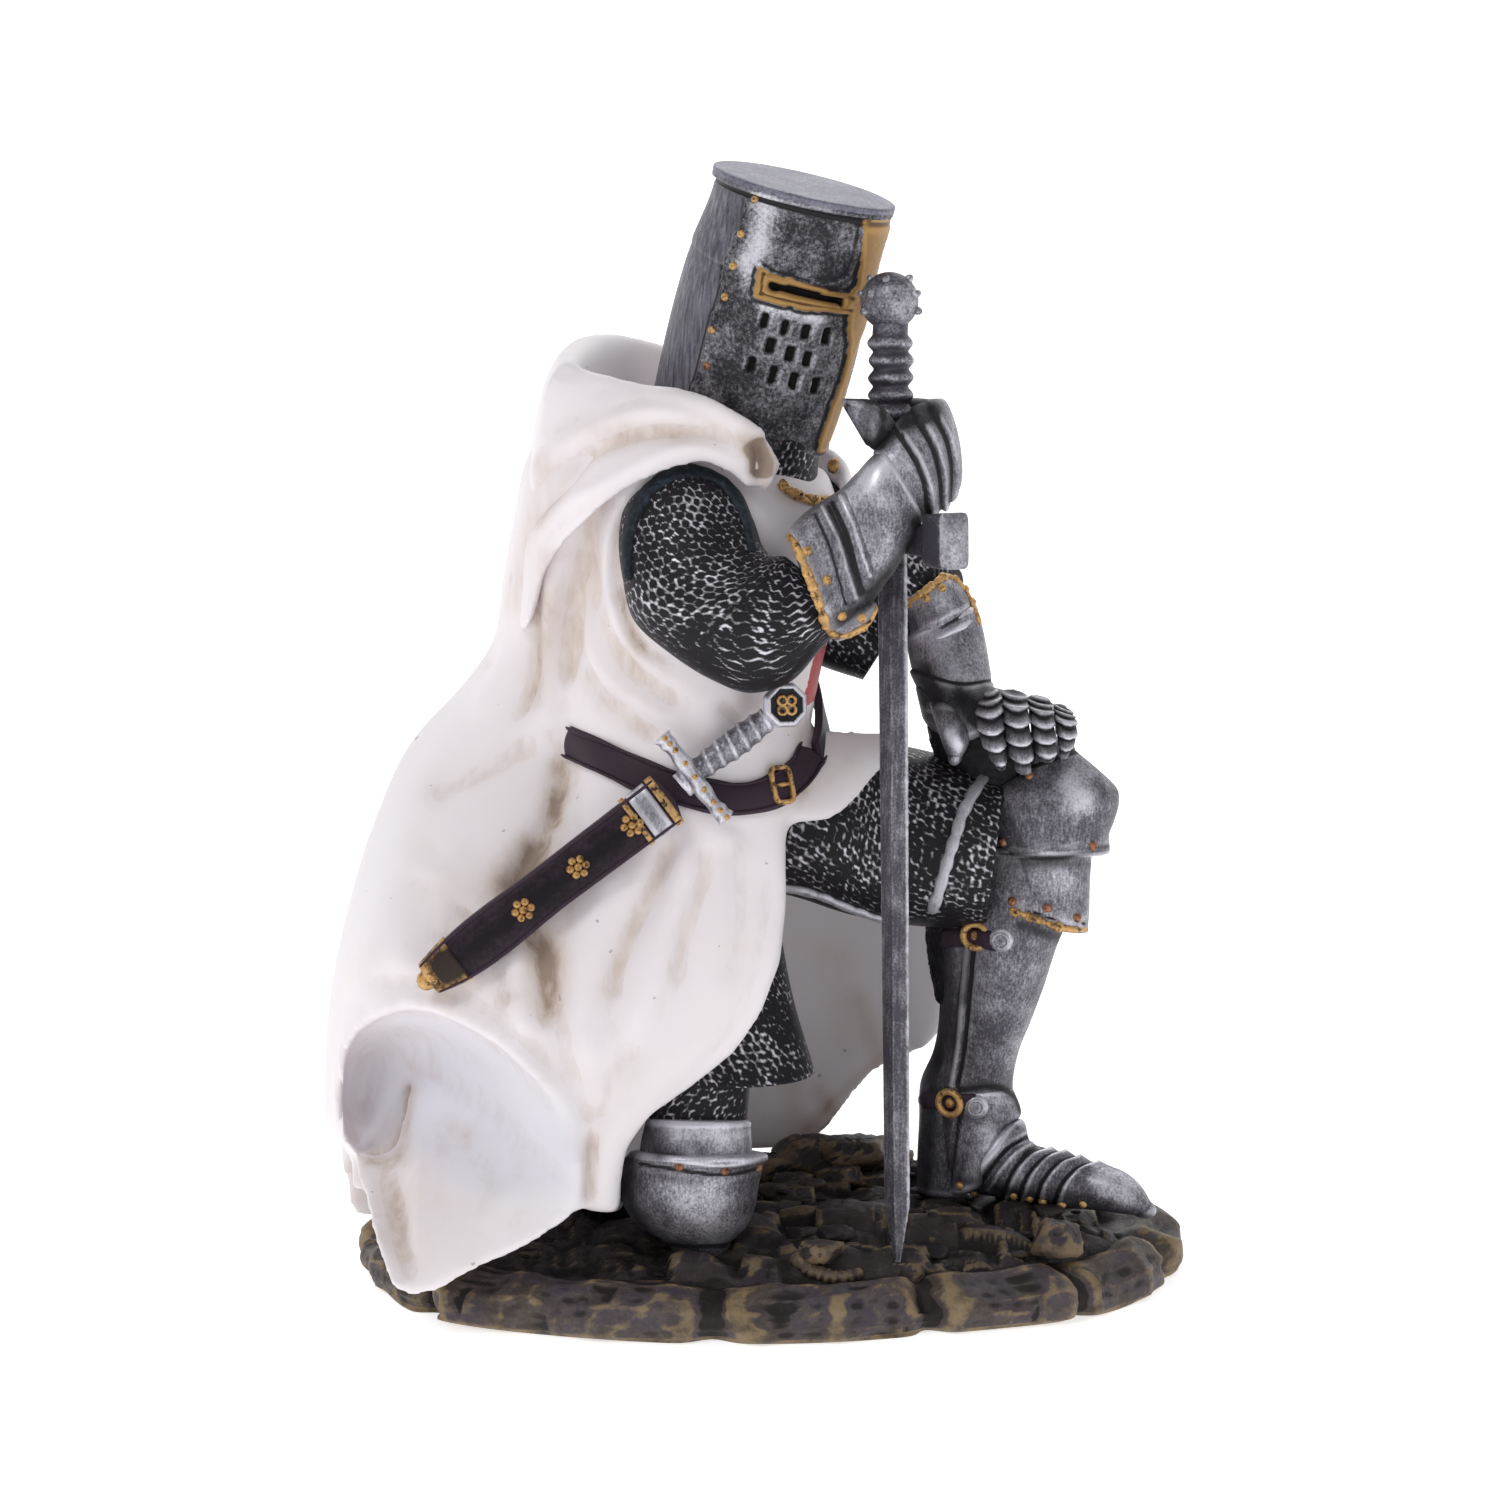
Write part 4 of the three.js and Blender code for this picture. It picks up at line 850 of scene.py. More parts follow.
def makeCloth(paint):
    body = Loft(cloth["surcoat"], 1.3, level=True, power=2.5)
    skirt = Loft(cloth["skirt"], 1.3, side=broad, level=True, power=3)
    cloak = Loft(cloth["cloak"], 1.3, level=True)
    behind = np.maximum(0, np.cos(cloak.angle - 1.1))
    calm = np.clip(1 - cloak.t / 9, 0, 1)[:, None]
    cloak.push(1.5 * behind * calm * np.cos(9 * cloak.angle + 0.5))
    main = asObject("main", asMesh("main", [body.shell(), skirt.shell(), cloak.shell()]))
    voxels(main, 1.2)
    movePlaces(main.data, levelled(placesOf(main.data), edgesOf(main.data), 2))
    beside = shell(np.array([[(x, y, h + ground) for x, h in cloth["opening"]] for y in (-62, 8)], float))
    cuts = [asObject("cutter", asMesh("cutter", [form])) for form in (beside,
                                                                      Loft(cloth["hollow"], 2, level=True).shell())]
    cuts += [viewCutter(cloth["rim"] + cloth["under"], -62, -3), viewCutter(cloth["tail"], -66, -6),
             viewCutter(cloth["spike"], -62, -4)]
    carve(main, cuts)
    far, lap = (slab(sheetGrid(np.array(cloth[key], float) + [0, 0, ground], 0.8), 2.2) for key in ("farPanel",
                                                                                                    "thighFlap"))
    extra = asObject("extra", asMesh("extra", [sheet(cloth["bowl"], inside=0.8), sheet(cloth["flap"]),
                                               sheet(cloth["lining"]),
                                               far, lap]))
    count = len(main.data.vertices)
    points = np.vstack([placesOf(main.data), placesOf(extra.data)])
    faces = [list(f.vertices) for f in main.data.polygons]
    faces += [[i + count for i in f.vertices] for f in extra.data.polygons]
    mesh = bpy.data.meshes.new("cloth")
    mesh.from_pydata((points * mm).tolist(), [], faces)
    discard(main, extra, *cuts)
    gown = foldCloth("white_cloth", mesh, paint, cloth["voxel"], gownFolds)
    cowl = foldCloth("cowl", asMesh("cowl", [cowlShell()]), paint, cloth["cowlVoxel"], cowlFolds)
    return Surface(gown, cowl)


def foldCloth(name, mesh, paint, size, folds):
    piece = voxels(asObject("rough", mesh), size)
    mesh = piece.data
    mesh.name = name
    edges = edgesOf(mesh)
    points = levelled(placesOf(mesh), edges, 3)
    movePlaces(mesh, points)
    normals, spots = outwards(mesh), seen(points)
    x, y, drop = points.T
    towards = np.clip((normals @ -ahead) * 1.6, 0, 1)
    nearSide = ease((8 - y) / 8) * towards
    # the far side seen under the thigh gets painted shade
    farSide = ease((y - 14) / 3) * towards * (spots[:, 1] > 920)
    # tan wash and painted shade along the fold valleys and the near-side strokes
    push, stain = np.zeros(len(points)), brushed(spots, nearShadeAndStains, nearSide > 0, 3, 1.2)
    for line, width, depth, washAndShade in folds:
        i, dist, _, along = near(spots, softLine(line), width * 2.5, nearSide > 0)
        ends = ease(np.minimum(along, 1 - along) / 0.16) * 0.85 + 0.15
        push[i] += depth * np.exp(-(dist / width) ** 2) * ends
        stain[i] += 0.66 * washAndShade * np.exp(-(dist / (width * 1.55)) ** 2) * ends
    # plain hanging folds round the back, shallow at the shoulders
    bearing = np.arctan2(y - 2, x + 14)
    pleat = np.cos(bearing * 8 + 0.5 * np.sin(drop * 0.05) + 0.012 * drop) * 0.65
    pleat = pleat + np.cos(bearing * 19 - 0.03 * drop) * 0.35
    rear = np.clip((normals @ ahead) * 2 + 0.5, 0, 1) * ease(y / 10) * ease((128 - drop) / 60) * (x < 22)
    points = points + normals * (push * nearSide + (pleat - 1) * 1.1 * rear)[:, None]
    movePlaces(mesh, levelled(points, edges, 1))
    # painted shade in the valleys of the back pleats, added to the washes in front and on the far side
    mark(mesh, "stain", stain * nearSide + brushed(spots, farShadeAndStains, farSide > 0, 3) * farSide
         + rear * ease((-0.1 - pleat) / 0.8) * 0.45)
    # marks the inside of the arch for its painted shade
    inArch = inPolygon(spots, cloth["rim"] + [(480, 1200), (430, 1160)]) * nearSide
    mark(mesh, "archShade", levelled(inArch, edges, 12))
    mark(mesh, "red", levelled(inPolygon(spots, cloth["cross"]) * (towards > 0) * (points[:, 1] < -10), edges, 1))
    markRelief(mesh)
    bpy.data.objects.remove(piece)
    finish(name, mesh, [paint])
    return placesOf(mesh), np.array([list(f.vertices) for f in mesh.polygons])


# floor, camera and lights
studio = {
    "near": -3.0, "far": 1.6, "wide": 4.0, "high": 4.0, "bend": 0.8, "glow": 0.62, "world": 0.42,
    # each light: place, aim, width and power
    "key": ((-0.55, -0.7, 1.0), (0, 0, 0.08), 0.5, 3.4),
    "fill": ((0.9, -0.7, 0.5), (0, 0, 0.07), 0.8, 0.8),
    "back": ((0.1, 0.9, 0.8), (0, 0, 0.1), 0.7, 1.2),
}


def aimedAt(thing, place, aim):
    thing.location = place
    thing.rotation_euler = (Vector(aim) - Vector(place)).to_track_quat("-Z", "Y").to_euler()
    bpy.context.scene.collection.objects.link(thing)
    return thing


def areaLight(name):
    place, aim, size, power = studio[name]
    data = bpy.data.lights.new(name, "AREA")
    data.shape, data.size, data.energy = "DISK", size, power
    aimedAt(bpy.data.objects.new(name, data), place, aim)


def makeStudio():
    side, bend, far = studio["wide"], studio["bend"], studio["far"]
    curve = [(studio["near"], 0.0), (far - bend, 0.0)]
    curve += [(far - bend + bend * math.sin(a), bend - bend * math.cos(a)) for a in np.linspace(0.1, math.pi / 2, 15)]
    curve.append((far, studio["high"]))
    mesh = bpy.data.meshes.new("floor")
    mesh.from_pydata([(x, y, z) for y, z in curve for x in (-side, side)], [],
                     [(2 * i, 2 * i + 1, 2 * i + 3, 2 * i + 2) for i in range(len(curve) - 1)])
    smooth(mesh)
    p = Paint("pale floor", Roughness=0.9, Specular_IOR_Level=0.1, Emission_Color=(1, 1, 1, 1),
              Emission_Strength=studio["glow"])
    mesh.materials.append(p.feed(Base_Color=p.noise(400, 2).mix((0.90, 0.90, 0.90), (0.93, 0.93, 0.93))))
    floor = asObject("floor", mesh)
    scene = bpy.context.scene
    scene.world = bpy.data.worlds.new("studio")
    scene.world.use_nodes = True
    sky = scene.world.node_tree.nodes["Background"].inputs
    sky[0].default_value, sky[1].default_value = (1, 1, 1, 1), studio["world"]
    for name in ("key", "fill", "back"):
        areaLight(name)
    data = bpy.data.cameras.new("camera")
    data.lens, data.sensor_width, data.clip_start = camera["lens"], sensor, 0.01
    scene.camera = aimedAt(bpy.data.objects.new("camera", data), eye * mm, (0, 0, camera["aim"] * mm))
    scene.view_settings.view_transform = "Standard"
    print("studio set up")


helm = {
    "pitch": 0.31,
    "rows": [[-2, -10, 118.5, 13.1, 12.8], [-0.4, -10.8, 124, 13.5, 13.2], [3.5, -12.9, 139, 13.5, 13.3],
             [7.25, -14.9, 151.65, 12.5, 12.5], [7.7, -15.1, 153.6, 12.6, 12.6]],
    "plate": [(752, 188), (745, 211), (737, 232), (729, 250), (724, 267), (722, 287), (714, 312), (706, 342),
              (699, 366), (692, 392), (670, 480), (940, 480), (940, 140), (762, 150)],
    "cross": [(860, 218), (856, 262), (853, 284), (846, 292), (832, 290), (813, 285), (792, 278), (771, 272),
              (759, 264), (754, 296), (762, 300), (790, 306), (804, 310), (833, 311), (845, 314), (843, 328),
              (845, 342), (842, 358), (837, 378), (828, 402), (819, 428), (812, 450), (930, 450), (930, 205)],
    "slit": [(770, 281), (842, 299), (840.5, 305), (769, 289)],
    "breaths": [(764, 320), (785, 328), (806, 332), (826, 336), (770, 345), (790, 354), (808, 359), (751, 364),
                (773, 375), (793, 381), (815, 385)],
    "breathSize": (3.7, 7.6),
    "rivets": [(755, 199), (741, 234), (733, 266), (725, 297), (712, 330)],
    "lowRivet": (706.5, 366),
    "bandHeight": 1.5,
    "seamAt": (700, 252),
    "lean": (0.24, -0.97),  # the way the breathing holes stand
    # fine lines on the face plate: the curl beside the cross, then the groove round the slit
    "lines": [([(859, 228), (856, 246), (852, 262), (845, 276), (832, 283), (812, 281)], 2.2, 0.3),
              ([(765, 273), (790, 281), (830, 290), (848, 297)], 1.8, -0.28),
              ([(762, 293), (790, 300), (830, 307), (846, 309)], 1.8, -0.28), ([(764, 272), (762, 293)], 1.8, -0.28)],
    # painted highlights where light catches the face plate
    "bright": [([(768, 205), (762, 232), (752, 262)], 13, 0.9), ([(764, 305), (800, 315), (818, 319)], 7, 0.8),
               ([(745, 262), (752, 285)], 9, 0.4), ([(800, 340), (790, 400)], 30, 0.15)],
}


def softened(field):
    field = (np.roll(field, 1, 1) + np.roll(field, -1, 1) + 2 * field) / 4
    field[1:-1] = (field[:-2] + field[2:] + 2 * field[1:-1]) / 4
    return field


def paintHelm():
    p = Paint("helm paint", IOR=1.5, Specular_IOR_Level=0.3)
    fine, wide, gold, dark, back, disc, bright = (p.mark(k) for k in
                                                  ("fine", "wide", "gold", "dark", "back", "disc", "bright"))
    streak, cloud, pits = p.noise(0.5, 3, stretch=(1, 1, 0.1)), p.noise(4.5, 4, 0.62), p.noise(0.5, 5, 0.75)
    # the bright mark adds painted highlights
    dry = fine.over(0.02, 0.14) * 0.16 + cloud + (pits - 0.5) * 1.35 + bright * (0.3 + pits * 0.7) - 0.31
    dry = dry.over(0.02, 1.05)
    smoothDry = ((streak - 0.5) * 1.2 + (cloud - 0.5) * 0.35 + (pits - 0.5) * 0.4 + 0.42).over(0.0, 1.3)
    worn = dry.mix((0.028, 0.027, 0.034), (0.72, 0.71, 0.78))
    calm = smoothDry.mix((0.060, 0.058, 0.074), (0.42, 0.41, 0.47))
    top = (pits * 0.75 + cloud * 0.25).over(0.3, 0.7).mix((0.085, 0.084, 0.115), (0.27, 0.265, 0.33))
    colour = back.over(0.3, 0.7).mix(worn, calm)
    colour = disc.over(0.3, 0.7).mix(colour, top)
    low = ((0 - fine).over(0.008, 0.055) * 0.95 + (0 - wide).over(0.1, 0.5) * 0.35).least(1.0)
    colour = (low * (1 - disc)).mix(colour, platePaint["black"])
    lit = ((cloud - 0.5) * 0.8 + (pits - 0.5) * 0.5 + fine.over(-0.01, 0.04) * 0.5 + 0.2).over(0, 0.8)
    goldTone = lit.mix((0.24, 0.125, 0.038), (0.42, 0.245, 0.085))
    goldTone = (low * 0.9).mix(goldTone, (0.07, 0.03, 0.012))
    mask = gold.over(0.42, 0.58)
    colour = mask.mix(colour, goldTone)
    # painted shade: the shallow slit and breathing holes are painted near black as the dark inside them
    hole = dark.over(0.4, 0.6)
    colour = hole.mix(colour, (0.006, 0.005, 0.005))
    metal = (0.55 - low * 0.4) * (1 - mask * 0.45) * (1 - hole)
    return p.feed(Base_Color=colour, Metallic=metal, Roughness=0.5 - dry * 0.1 + hole * 0.3 - mask * 0.05,
                  Normal=p.bump(pits * 0.6 + streak * 0.4, 0.035, 0.5))


def makeHelm(paints):
    form = Loft(helm["rows"], helm["pitch"], side=front)
    keel = 1 + 0.05 * np.maximum(0, np.cos(form.angle)) ** 6
    form.points = form.centre[:, None] + (form.points - form.centre[:, None]) * keel[None, :, None]
    form.turn()
    n, shape = len(form.angle), form.points.shape[:2]
    # the far side is the mirror of the side that the picture shows
    pick = np.where((form.angle >= math.pi) | (form.angle == 0), np.arange(n), (-np.arange(n)) % n)
    spots = seen(form.points[:, pick]).reshape(-1, 2)
    facing = ((form.normal[:, pick] @ -ahead) > 0.0).ravel()

    def field(mask):
        return (mask & facing).reshape(shape).astype(float)
    plate, cross, slit = (field(inPolygon(spots, helm[key])) for key in ("plate", "cross", "slit"))
    holes = np.zeros(shape)
    lean = np.array(helm["lean"])
    wide, tall = helm["breathSize"]
    for spot in helm["breaths"]:
        off = spots - np.array(spot)
        holes = np.maximum(holes, field((np.abs(off @ lean) < tall) & (np.abs(off @ [-lean[1], lean[0]]) < wide)))
    fromTop = (form.run[-1] - form.run)[:, None] * np.ones(shape)
    band = ease((helm["bandHeight"] - fromTop) / 0.25)
    gap = np.hypot(*(spots - np.array(helm["seamAt"])).T) + ~facing * 1e4
    seamRow = gap.argmin() // n
    upper = ease((form.run[:, None] - form.run[seamRow]) / 0.3) * (1 - plate)
    rim = np.exp(-((form.run - 0.7) / 0.6) ** 2)[:, None] * 0.25
    recess = np.exp(-((fromTop - helm["bandHeight"] - 0.45) / 0.4) ** 2) * -0.22
    plateSoft, crossSoft, slitSoft, holesSoft, upperSoft = (softened(f) for f in (plate, cross, slit, holes, upper))
    form.push(plateSoft * 0.42 + crossSoft * 0.62 * (1 - band) + brushed(spots, helm["lines"], facing).reshape(shape)
              - slitSoft * 1.9 - holesSoft * 1.2 + band * 0.55 + upperSoft * 0.22 + rim + recess)
    # painted highlights on the face plate
    bright = brushed(spots, helm["bright"], facing).reshape(shape)
    # the lid, then the rolled-in lower edge
    axis, last, hub = form.axis[-1], form.points[-1], form.points[-1].mean(0)
    lid = [(0.992, 0.14), (0.97, 0.22)] + [(s, 0.25 + 0.14 * (1 - s)) for s in np.linspace(0.93, 0.04, 26)]
    above = [hub + (last - hub) * scale + axis * rise for scale, rise in lid]
    foot, low = form.points[0], form.points[0].mean(0)
    below = [low + (foot - low) * scale + form.axis[0] * rise for scale, rise in ((0.9, 5), (0.92, 0.5), (0.95, 0))]

    def padded(values, under, over):
        return np.concatenate([np.full((len(below), n), under), values, np.full((len(above), n), over)])
    piece = Piece()
    # the slit and breathing holes are marked for their painted shade
    piece.add(shell(np.concatenate([below, form.points, above])),
              gold=padded(crossSoft * (1 - band) * (1 - slit), 0, 0),
              dark=padded(np.maximum(slitSoft, holesSoft), 1, 0), bright=padded(bright, 0, 0),
              back=padded(1 - plate, 0, 1),
              disc=padded(ease((helm["bandHeight"] - 0.5 - fromTop) / 0.6), 0, 1))
    outer = Surface(shell(form.points))
    line = unit(form.centre[-1] - form.centre[0])
    flat = unit(left - line * (left @ line))
    for spot, paint in [(s, 1) for s in helm["rivets"]] + [(helm["lowRivet"], 2)]:
        p, normal = outer.pin(*spot)
        twin = p - 2 * ((p - form.centre[0]) @ flat) * flat, normal - 2 * (normal @ flat) * flat
        for place, way in ((p, normal), twin):
            piece.add(pebbled(place, way, 0.62, 0.5), paint)
    return piece.make("great_helm", paints)


mail = {
    "pitch": 0.42, "sleevePitch": 0.3, "ringWide": 1.4, "ringTall": 1.22, "relief": 0.4,
    "neck": [[-1, -13, 106, 11, 11], [1, -13.5, 112, 9, 9], [2, -14, 118, 8.6, 8.6], [2.5, -14, 121, 8.5, 8.5]],
    # the right sleeve, each row from its outer edge to its inner edge
    "sleeve": [[655, 470, 700, 462, -22, 5.5], [628, 500, 738, 488, -25, 8.5], [619, 535, 754, 520, -27.5, 9.8],
               [622, 575, 762, 545, -30, 10.2], [635, 622, 772, 556, -32.5, 9.8], [668, 652, 783, 556, -34, 9.2],
               [712, 680, 790, 560, -35, 8.8], [750, 693, 797, 566, -35.5, 8.2], [790, 682, 806, 574, -35.5, 7.4],
               [822, 648, 822, 586, -35, 6.2], [838, 632, 836, 590, -35, 5.2]],
    "leftArm": [[6, 4, 104, 8, 8], [13, 8, 99, 9, 8], [20, 7, 94, 8.5, 8], [28, 1, 90, 6.5, 6.5]],
    "leftDroop": [[6, 4, 94, 8, 7], [12, 4, 88, 7.5, 6], [20, 3, 83, 5.5, 5]],
    "thigh": [[2, -4, 60, 12, 15.2], [10, -5.4, 59, 12.5, 15.6], [18, -6, 57, 13, 15.5], [31, -8, 54.8, 12.4, 13],
              [37, -8.5, 54, 11.4, 11.5]],
    "rightThigh": [[-7, -19, 52, 10, 10], [-6, -20, 46, 10.5, 10], [-3.8, -22, 34, 9.8, 10.4],
                   [-1.5, -24, 23.5, 11.4, 11]],
    "shin": [[-8, -26, 14, 7.4, 7.4], [-6.8, -26.5, 24, 7, 7]],
    # under the hand and behind the knee
    "kneeTop": [[926, 716, 1040, 738, -9, 4.5], [930, 742, 1062, 762, -8, 6], [940, 772, 1048, 776, -7, 7],
                [945, 806, 1010, 800, -7, 7.2], [930, 850, 1000, 850, -6.5, 6.4], [926, 905, 990, 905, -5.4, 6],
                [927, 950, 975, 955, -4.4, 5], [936, 1000, 965, 1000, -3.4, 4]],
    # metal bands on the hems: over the thigh, beside the knee and round the hem above the right knee
    "bands": [("thigh", [(783, 886), (800, 889), (822, 895), (848, 906), (885, 919)], 1.7),
              ("thigh", [(988, 772), (966, 806), (951, 849), (938, 893), (932, 912)], 1.8),
              ("rightThigh", [(744, 1090), (767, 1091), (795, 1088), (814, 1081)], 1.6)],
}


def mailOn(form, waves=(2, 3)):  # a net of rings that turns into wavy rows, between these shares of the length
    p, wide, tall = form.points, mail["ringWide"], mail["ringTall"]
    girth = np.linalg.norm(np.diff(np.concatenate([p, p[:, :1]], 1), axis=1), axis=2).sum(1)
    count = max(4, round(float(np.median(girth)) / wide))
    u = form.arc / girth[:, None] * count
    v = np.repeat(form.run[:, None], p.shape[1], 1) / tall + 4
    v = v + 0.35 * np.sin(u * 2 * math.pi * 3 / count + 0.8) + 0.18 * np.sin(u * 2 * math.pi * 7 / count)
    table = (int(v.max()) + 4, count)
    jitter, glow = dice.uniform(-0.2, 0.2, (*table, 2)), dice.uniform(0.55, 1.0, table)
    first, second, shine = np.full(u.shape, 9.0), np.full(u.shape, 9.0), np.ones(u.shape)
    for dv, du in [(i, j) for i in (-1, 0, 1) for j in (-1, 0, 1)]:
        row = np.floor(v).astype(int) + dv
        shift = 0.5 * (row % 2)
        column = np.floor(u - shift).astype(int) + du
        spot, lit = jitter[row, column % count], glow[row, column % count]
        a, b = (u - column - 0.5 - shift - spot[..., 0]) * wide, (v - row - 0.5 - spot[..., 1]) * tall
        far = np.hypot(a, b)
        shine = np.where(far < first, lit * (0.7 + 0.3 * np.sin(np.arctan2(b, a) + 4.0 * lit)), shine)
        second = np.where(far < first, first, np.minimum(second, far))
        first = np.minimum(first, far)
    net = np.exp(-((second - first) / 0.42) ** 2) * shine
    bend = u * 1.05 + 0.24 * np.sin(v * 2.7 + 2.1 * np.floor(u * 1.05)) + 0.3 * np.sin(v * 0.6 + u * 0.8)
    wave = np.exp(-(np.abs((bend % 1.0) - 0.5) / 0.17) ** 2)
    wave = wave * (0.68 + 0.32 * np.sin(v * 1.9 + np.floor(bend) * 2.4) * np.sin(v * 0.55 + np.floor(bend) * 1.7))
    height = net + (wave - net) * ease((form.run / form.run[-1] - waves[0]) / (waves[1] - waves[0]))[:, None]
    # painted light: rings facing up and towards the camera are painted brighter
    light = np.clip(form.normal @ unit(0.45 * up - ahead - 0.1 * broad), 0, 1)
    form.push((height - 0.4) * mail["relief"])
    return height * (0.62 + 0.42 * light)


def makeMail(paints):
    piece = Piece()
    for key, kind in (("neck", {"level": True}), ("leftArm", {"side": up}), ("leftDroop", {"side": up})):
        form = Loft(mail[key], mail["pitch"], **kind)
        piece.add(form.shell(), ring=mailOn(form))
    form = Ribs(mail["sleeve"], mail["sleevePitch"], 2.2, ends=(3, 0))
    piece.add(form.shell(), ring=mailOn(form, (0.52, 0.75)))
    piece.make("neck_and_arm_mail", paints, fine=2)
    piece, forms = Piece(), {}
    for key, kind in (("thigh", {"side": up, "power": 2.3}), ("rightThigh", {"level": True}),
                      ("shin", {"level": True})):
        form = forms[key] = Loft(mail[key], mail["pitch"], **kind)
        piece.add(form.shell(), ring=mailOn(form))
    form = Ribs(mail["kneeTop"], mail["pitch"], 2.2, ends=(1.5, 1))
    # painted shade: the mail under the hand is painted darker
    rings = mailOn(form)
    piece.add(form.shell(), ring=rings * 0.8, stain=np.full(rings.shape, 0.35))
    for key, line, wide in mail["bands"]:
        path, normal = Surface(forms[key].shell()).along(line, 0.4, 0.25)
        piece.add(trim(path, normal, wide * (1 + 0.1 * np.sin(np.arange(len(path)) * 0.9)), 0.6), 1, stain=[0.22])
    return piece.make("leg_mail", paints, fine=2)


# plate armour: each row runs from one edge to the other in the picture, with its depth and half thickness
rightHand = {
    "pitch": 0.32,
    "cuff": [[788, 531, 829, 636, -35, 9.2], [801, 516, 848, 634, -35, 8.6], [822, 501, 866, 612, -35, 7.4],
             [842, 488, 880, 592, -35, 6.8], [856, 473, 893, 572, -35, 6.4]],
    "lip": [[837, 641, 866, 629, -35, 4], [827, 634, 877, 607, -35, 5.6], [834, 622, 872, 598, -35, 5]],
    "back": [[838, 496, 872, 594, -35.2, 6.3], [856, 474, 893, 574, -35.6, 6.6], [868, 460, 908, 548, -35.6, 6.4],
             [879, 450, 922, 522, -35.2, 5.8]],
    "fingers": [[874, 450, 918, 526, -34.6, 5.6], [891, 430, 929, 517, -33.8, 6.2], [908, 412, 942, 509, -32, 6.6],
                [925, 403, 950, 500, -29.6, 6.2], [939, 400, 955, 488, -27.6, 5.2]],
    "tips": [[884, 400, 890, 448, -25.5, 4.6], [912, 398, 914, 452, -24.5, 4.8], [938, 400, 936, 456, -25.5, 4.6]],
    "thumb": [[843.5, 398.5, 846, 411, -33.5, 1.6], [856, 399, 858, 430, -33.8, 2.8], [873, 401, 872, 449, -34, 3.6],
              [888, 413, 880, 450, -33.5, 3.6], [896, 424, 894, 448, -32.5, 3]],
    "lines": {
        "cuff": [([(823, 508), (838, 540), (847, 571), (855, 597)], 3.2, 0.42, "ridge"),
                 ([(832, 502), (847, 534), (856, 566), (863, 590)], 3, -0.35, "groove"),
                 ([(841, 497), (854, 527), (862, 553), (869, 575)], 3, 0.4, "ridge"),
                 ([(815, 514), (829, 545), (838, 575), (846, 604)], 2.6, -0.25, "groove")],
        "fingers": [([(929, 517), (927, 488), (918, 462), (902, 436)], 2.2, 0.75, "lap"),
                    ([(942, 508), (940, 473), (932, 444), (918, 420)], 2.2, 0.75, "lap"),
                    ([(950, 501), (951, 467), (945, 436), (932, 412)], 2.2, 0.7, "lap")],
        "thumb": [([(845, 404), (868, 444)], 2, 0.3, "ridge"),
                  ([(846, 402), (868, 403), (886, 415)], 2, 0.3, "ridge")],
    },
    "shade": [([(888, 402), (930, 412)], 13, 1), ([(862, 454), (884, 440), (905, 425), (930, 410)], 9, 0.9),
              ([(872, 592), (900, 560), (924, 524)], 8, 1), ([(842, 620), (868, 604)], 10, 0.9),
              ([(915, 522), (925, 512)], 8, 0.8),
              ([(829, 507), (843, 538), (853, 568), (860, 592)], 4, 1),
              ([(800, 530), (815, 565), (828, 600)], 5, 0.4),
              ([(929, 517), (927, 488), (918, 462), (902, 436)], 2.6, 0.9),
              ([(942, 508), (940, 473), (932, 444), (918, 420)], 2.6, 0.9),
              ([(950, 501), (951, 467), (945, 436), (932, 412)], 2.6, 0.9),
              ([(846, 404), (848, 420), (868, 448)], 3, 0.9),
              ([(848, 398), (886, 404)], 3, 0.7), ([(870, 400), (866, 440)], 6, 0.5),
              ([(884, 410), (880, 446)], 5, 0.8)],
    "rim": [(787, 530), (797, 548), (808, 575), (821, 610), (829, 636)],
    "lipRim": [(829, 632), (844, 636), (858, 630), (869, 622), (876, 606)],
    "rivets": [(807, 551), (827, 580), (842, 616), (862, 618)],
    # painted highlights where light catches the gauntlet
    "bright": [([(850, 500), (866, 480), (884, 470)], 12, 0.7), ([(880, 560), (890, 530)], 10, 0.25),
               ([(900, 440), (910, 470)], 5, 0.3), ([(866, 470), (880, 500)], 10, 0.5)],
}

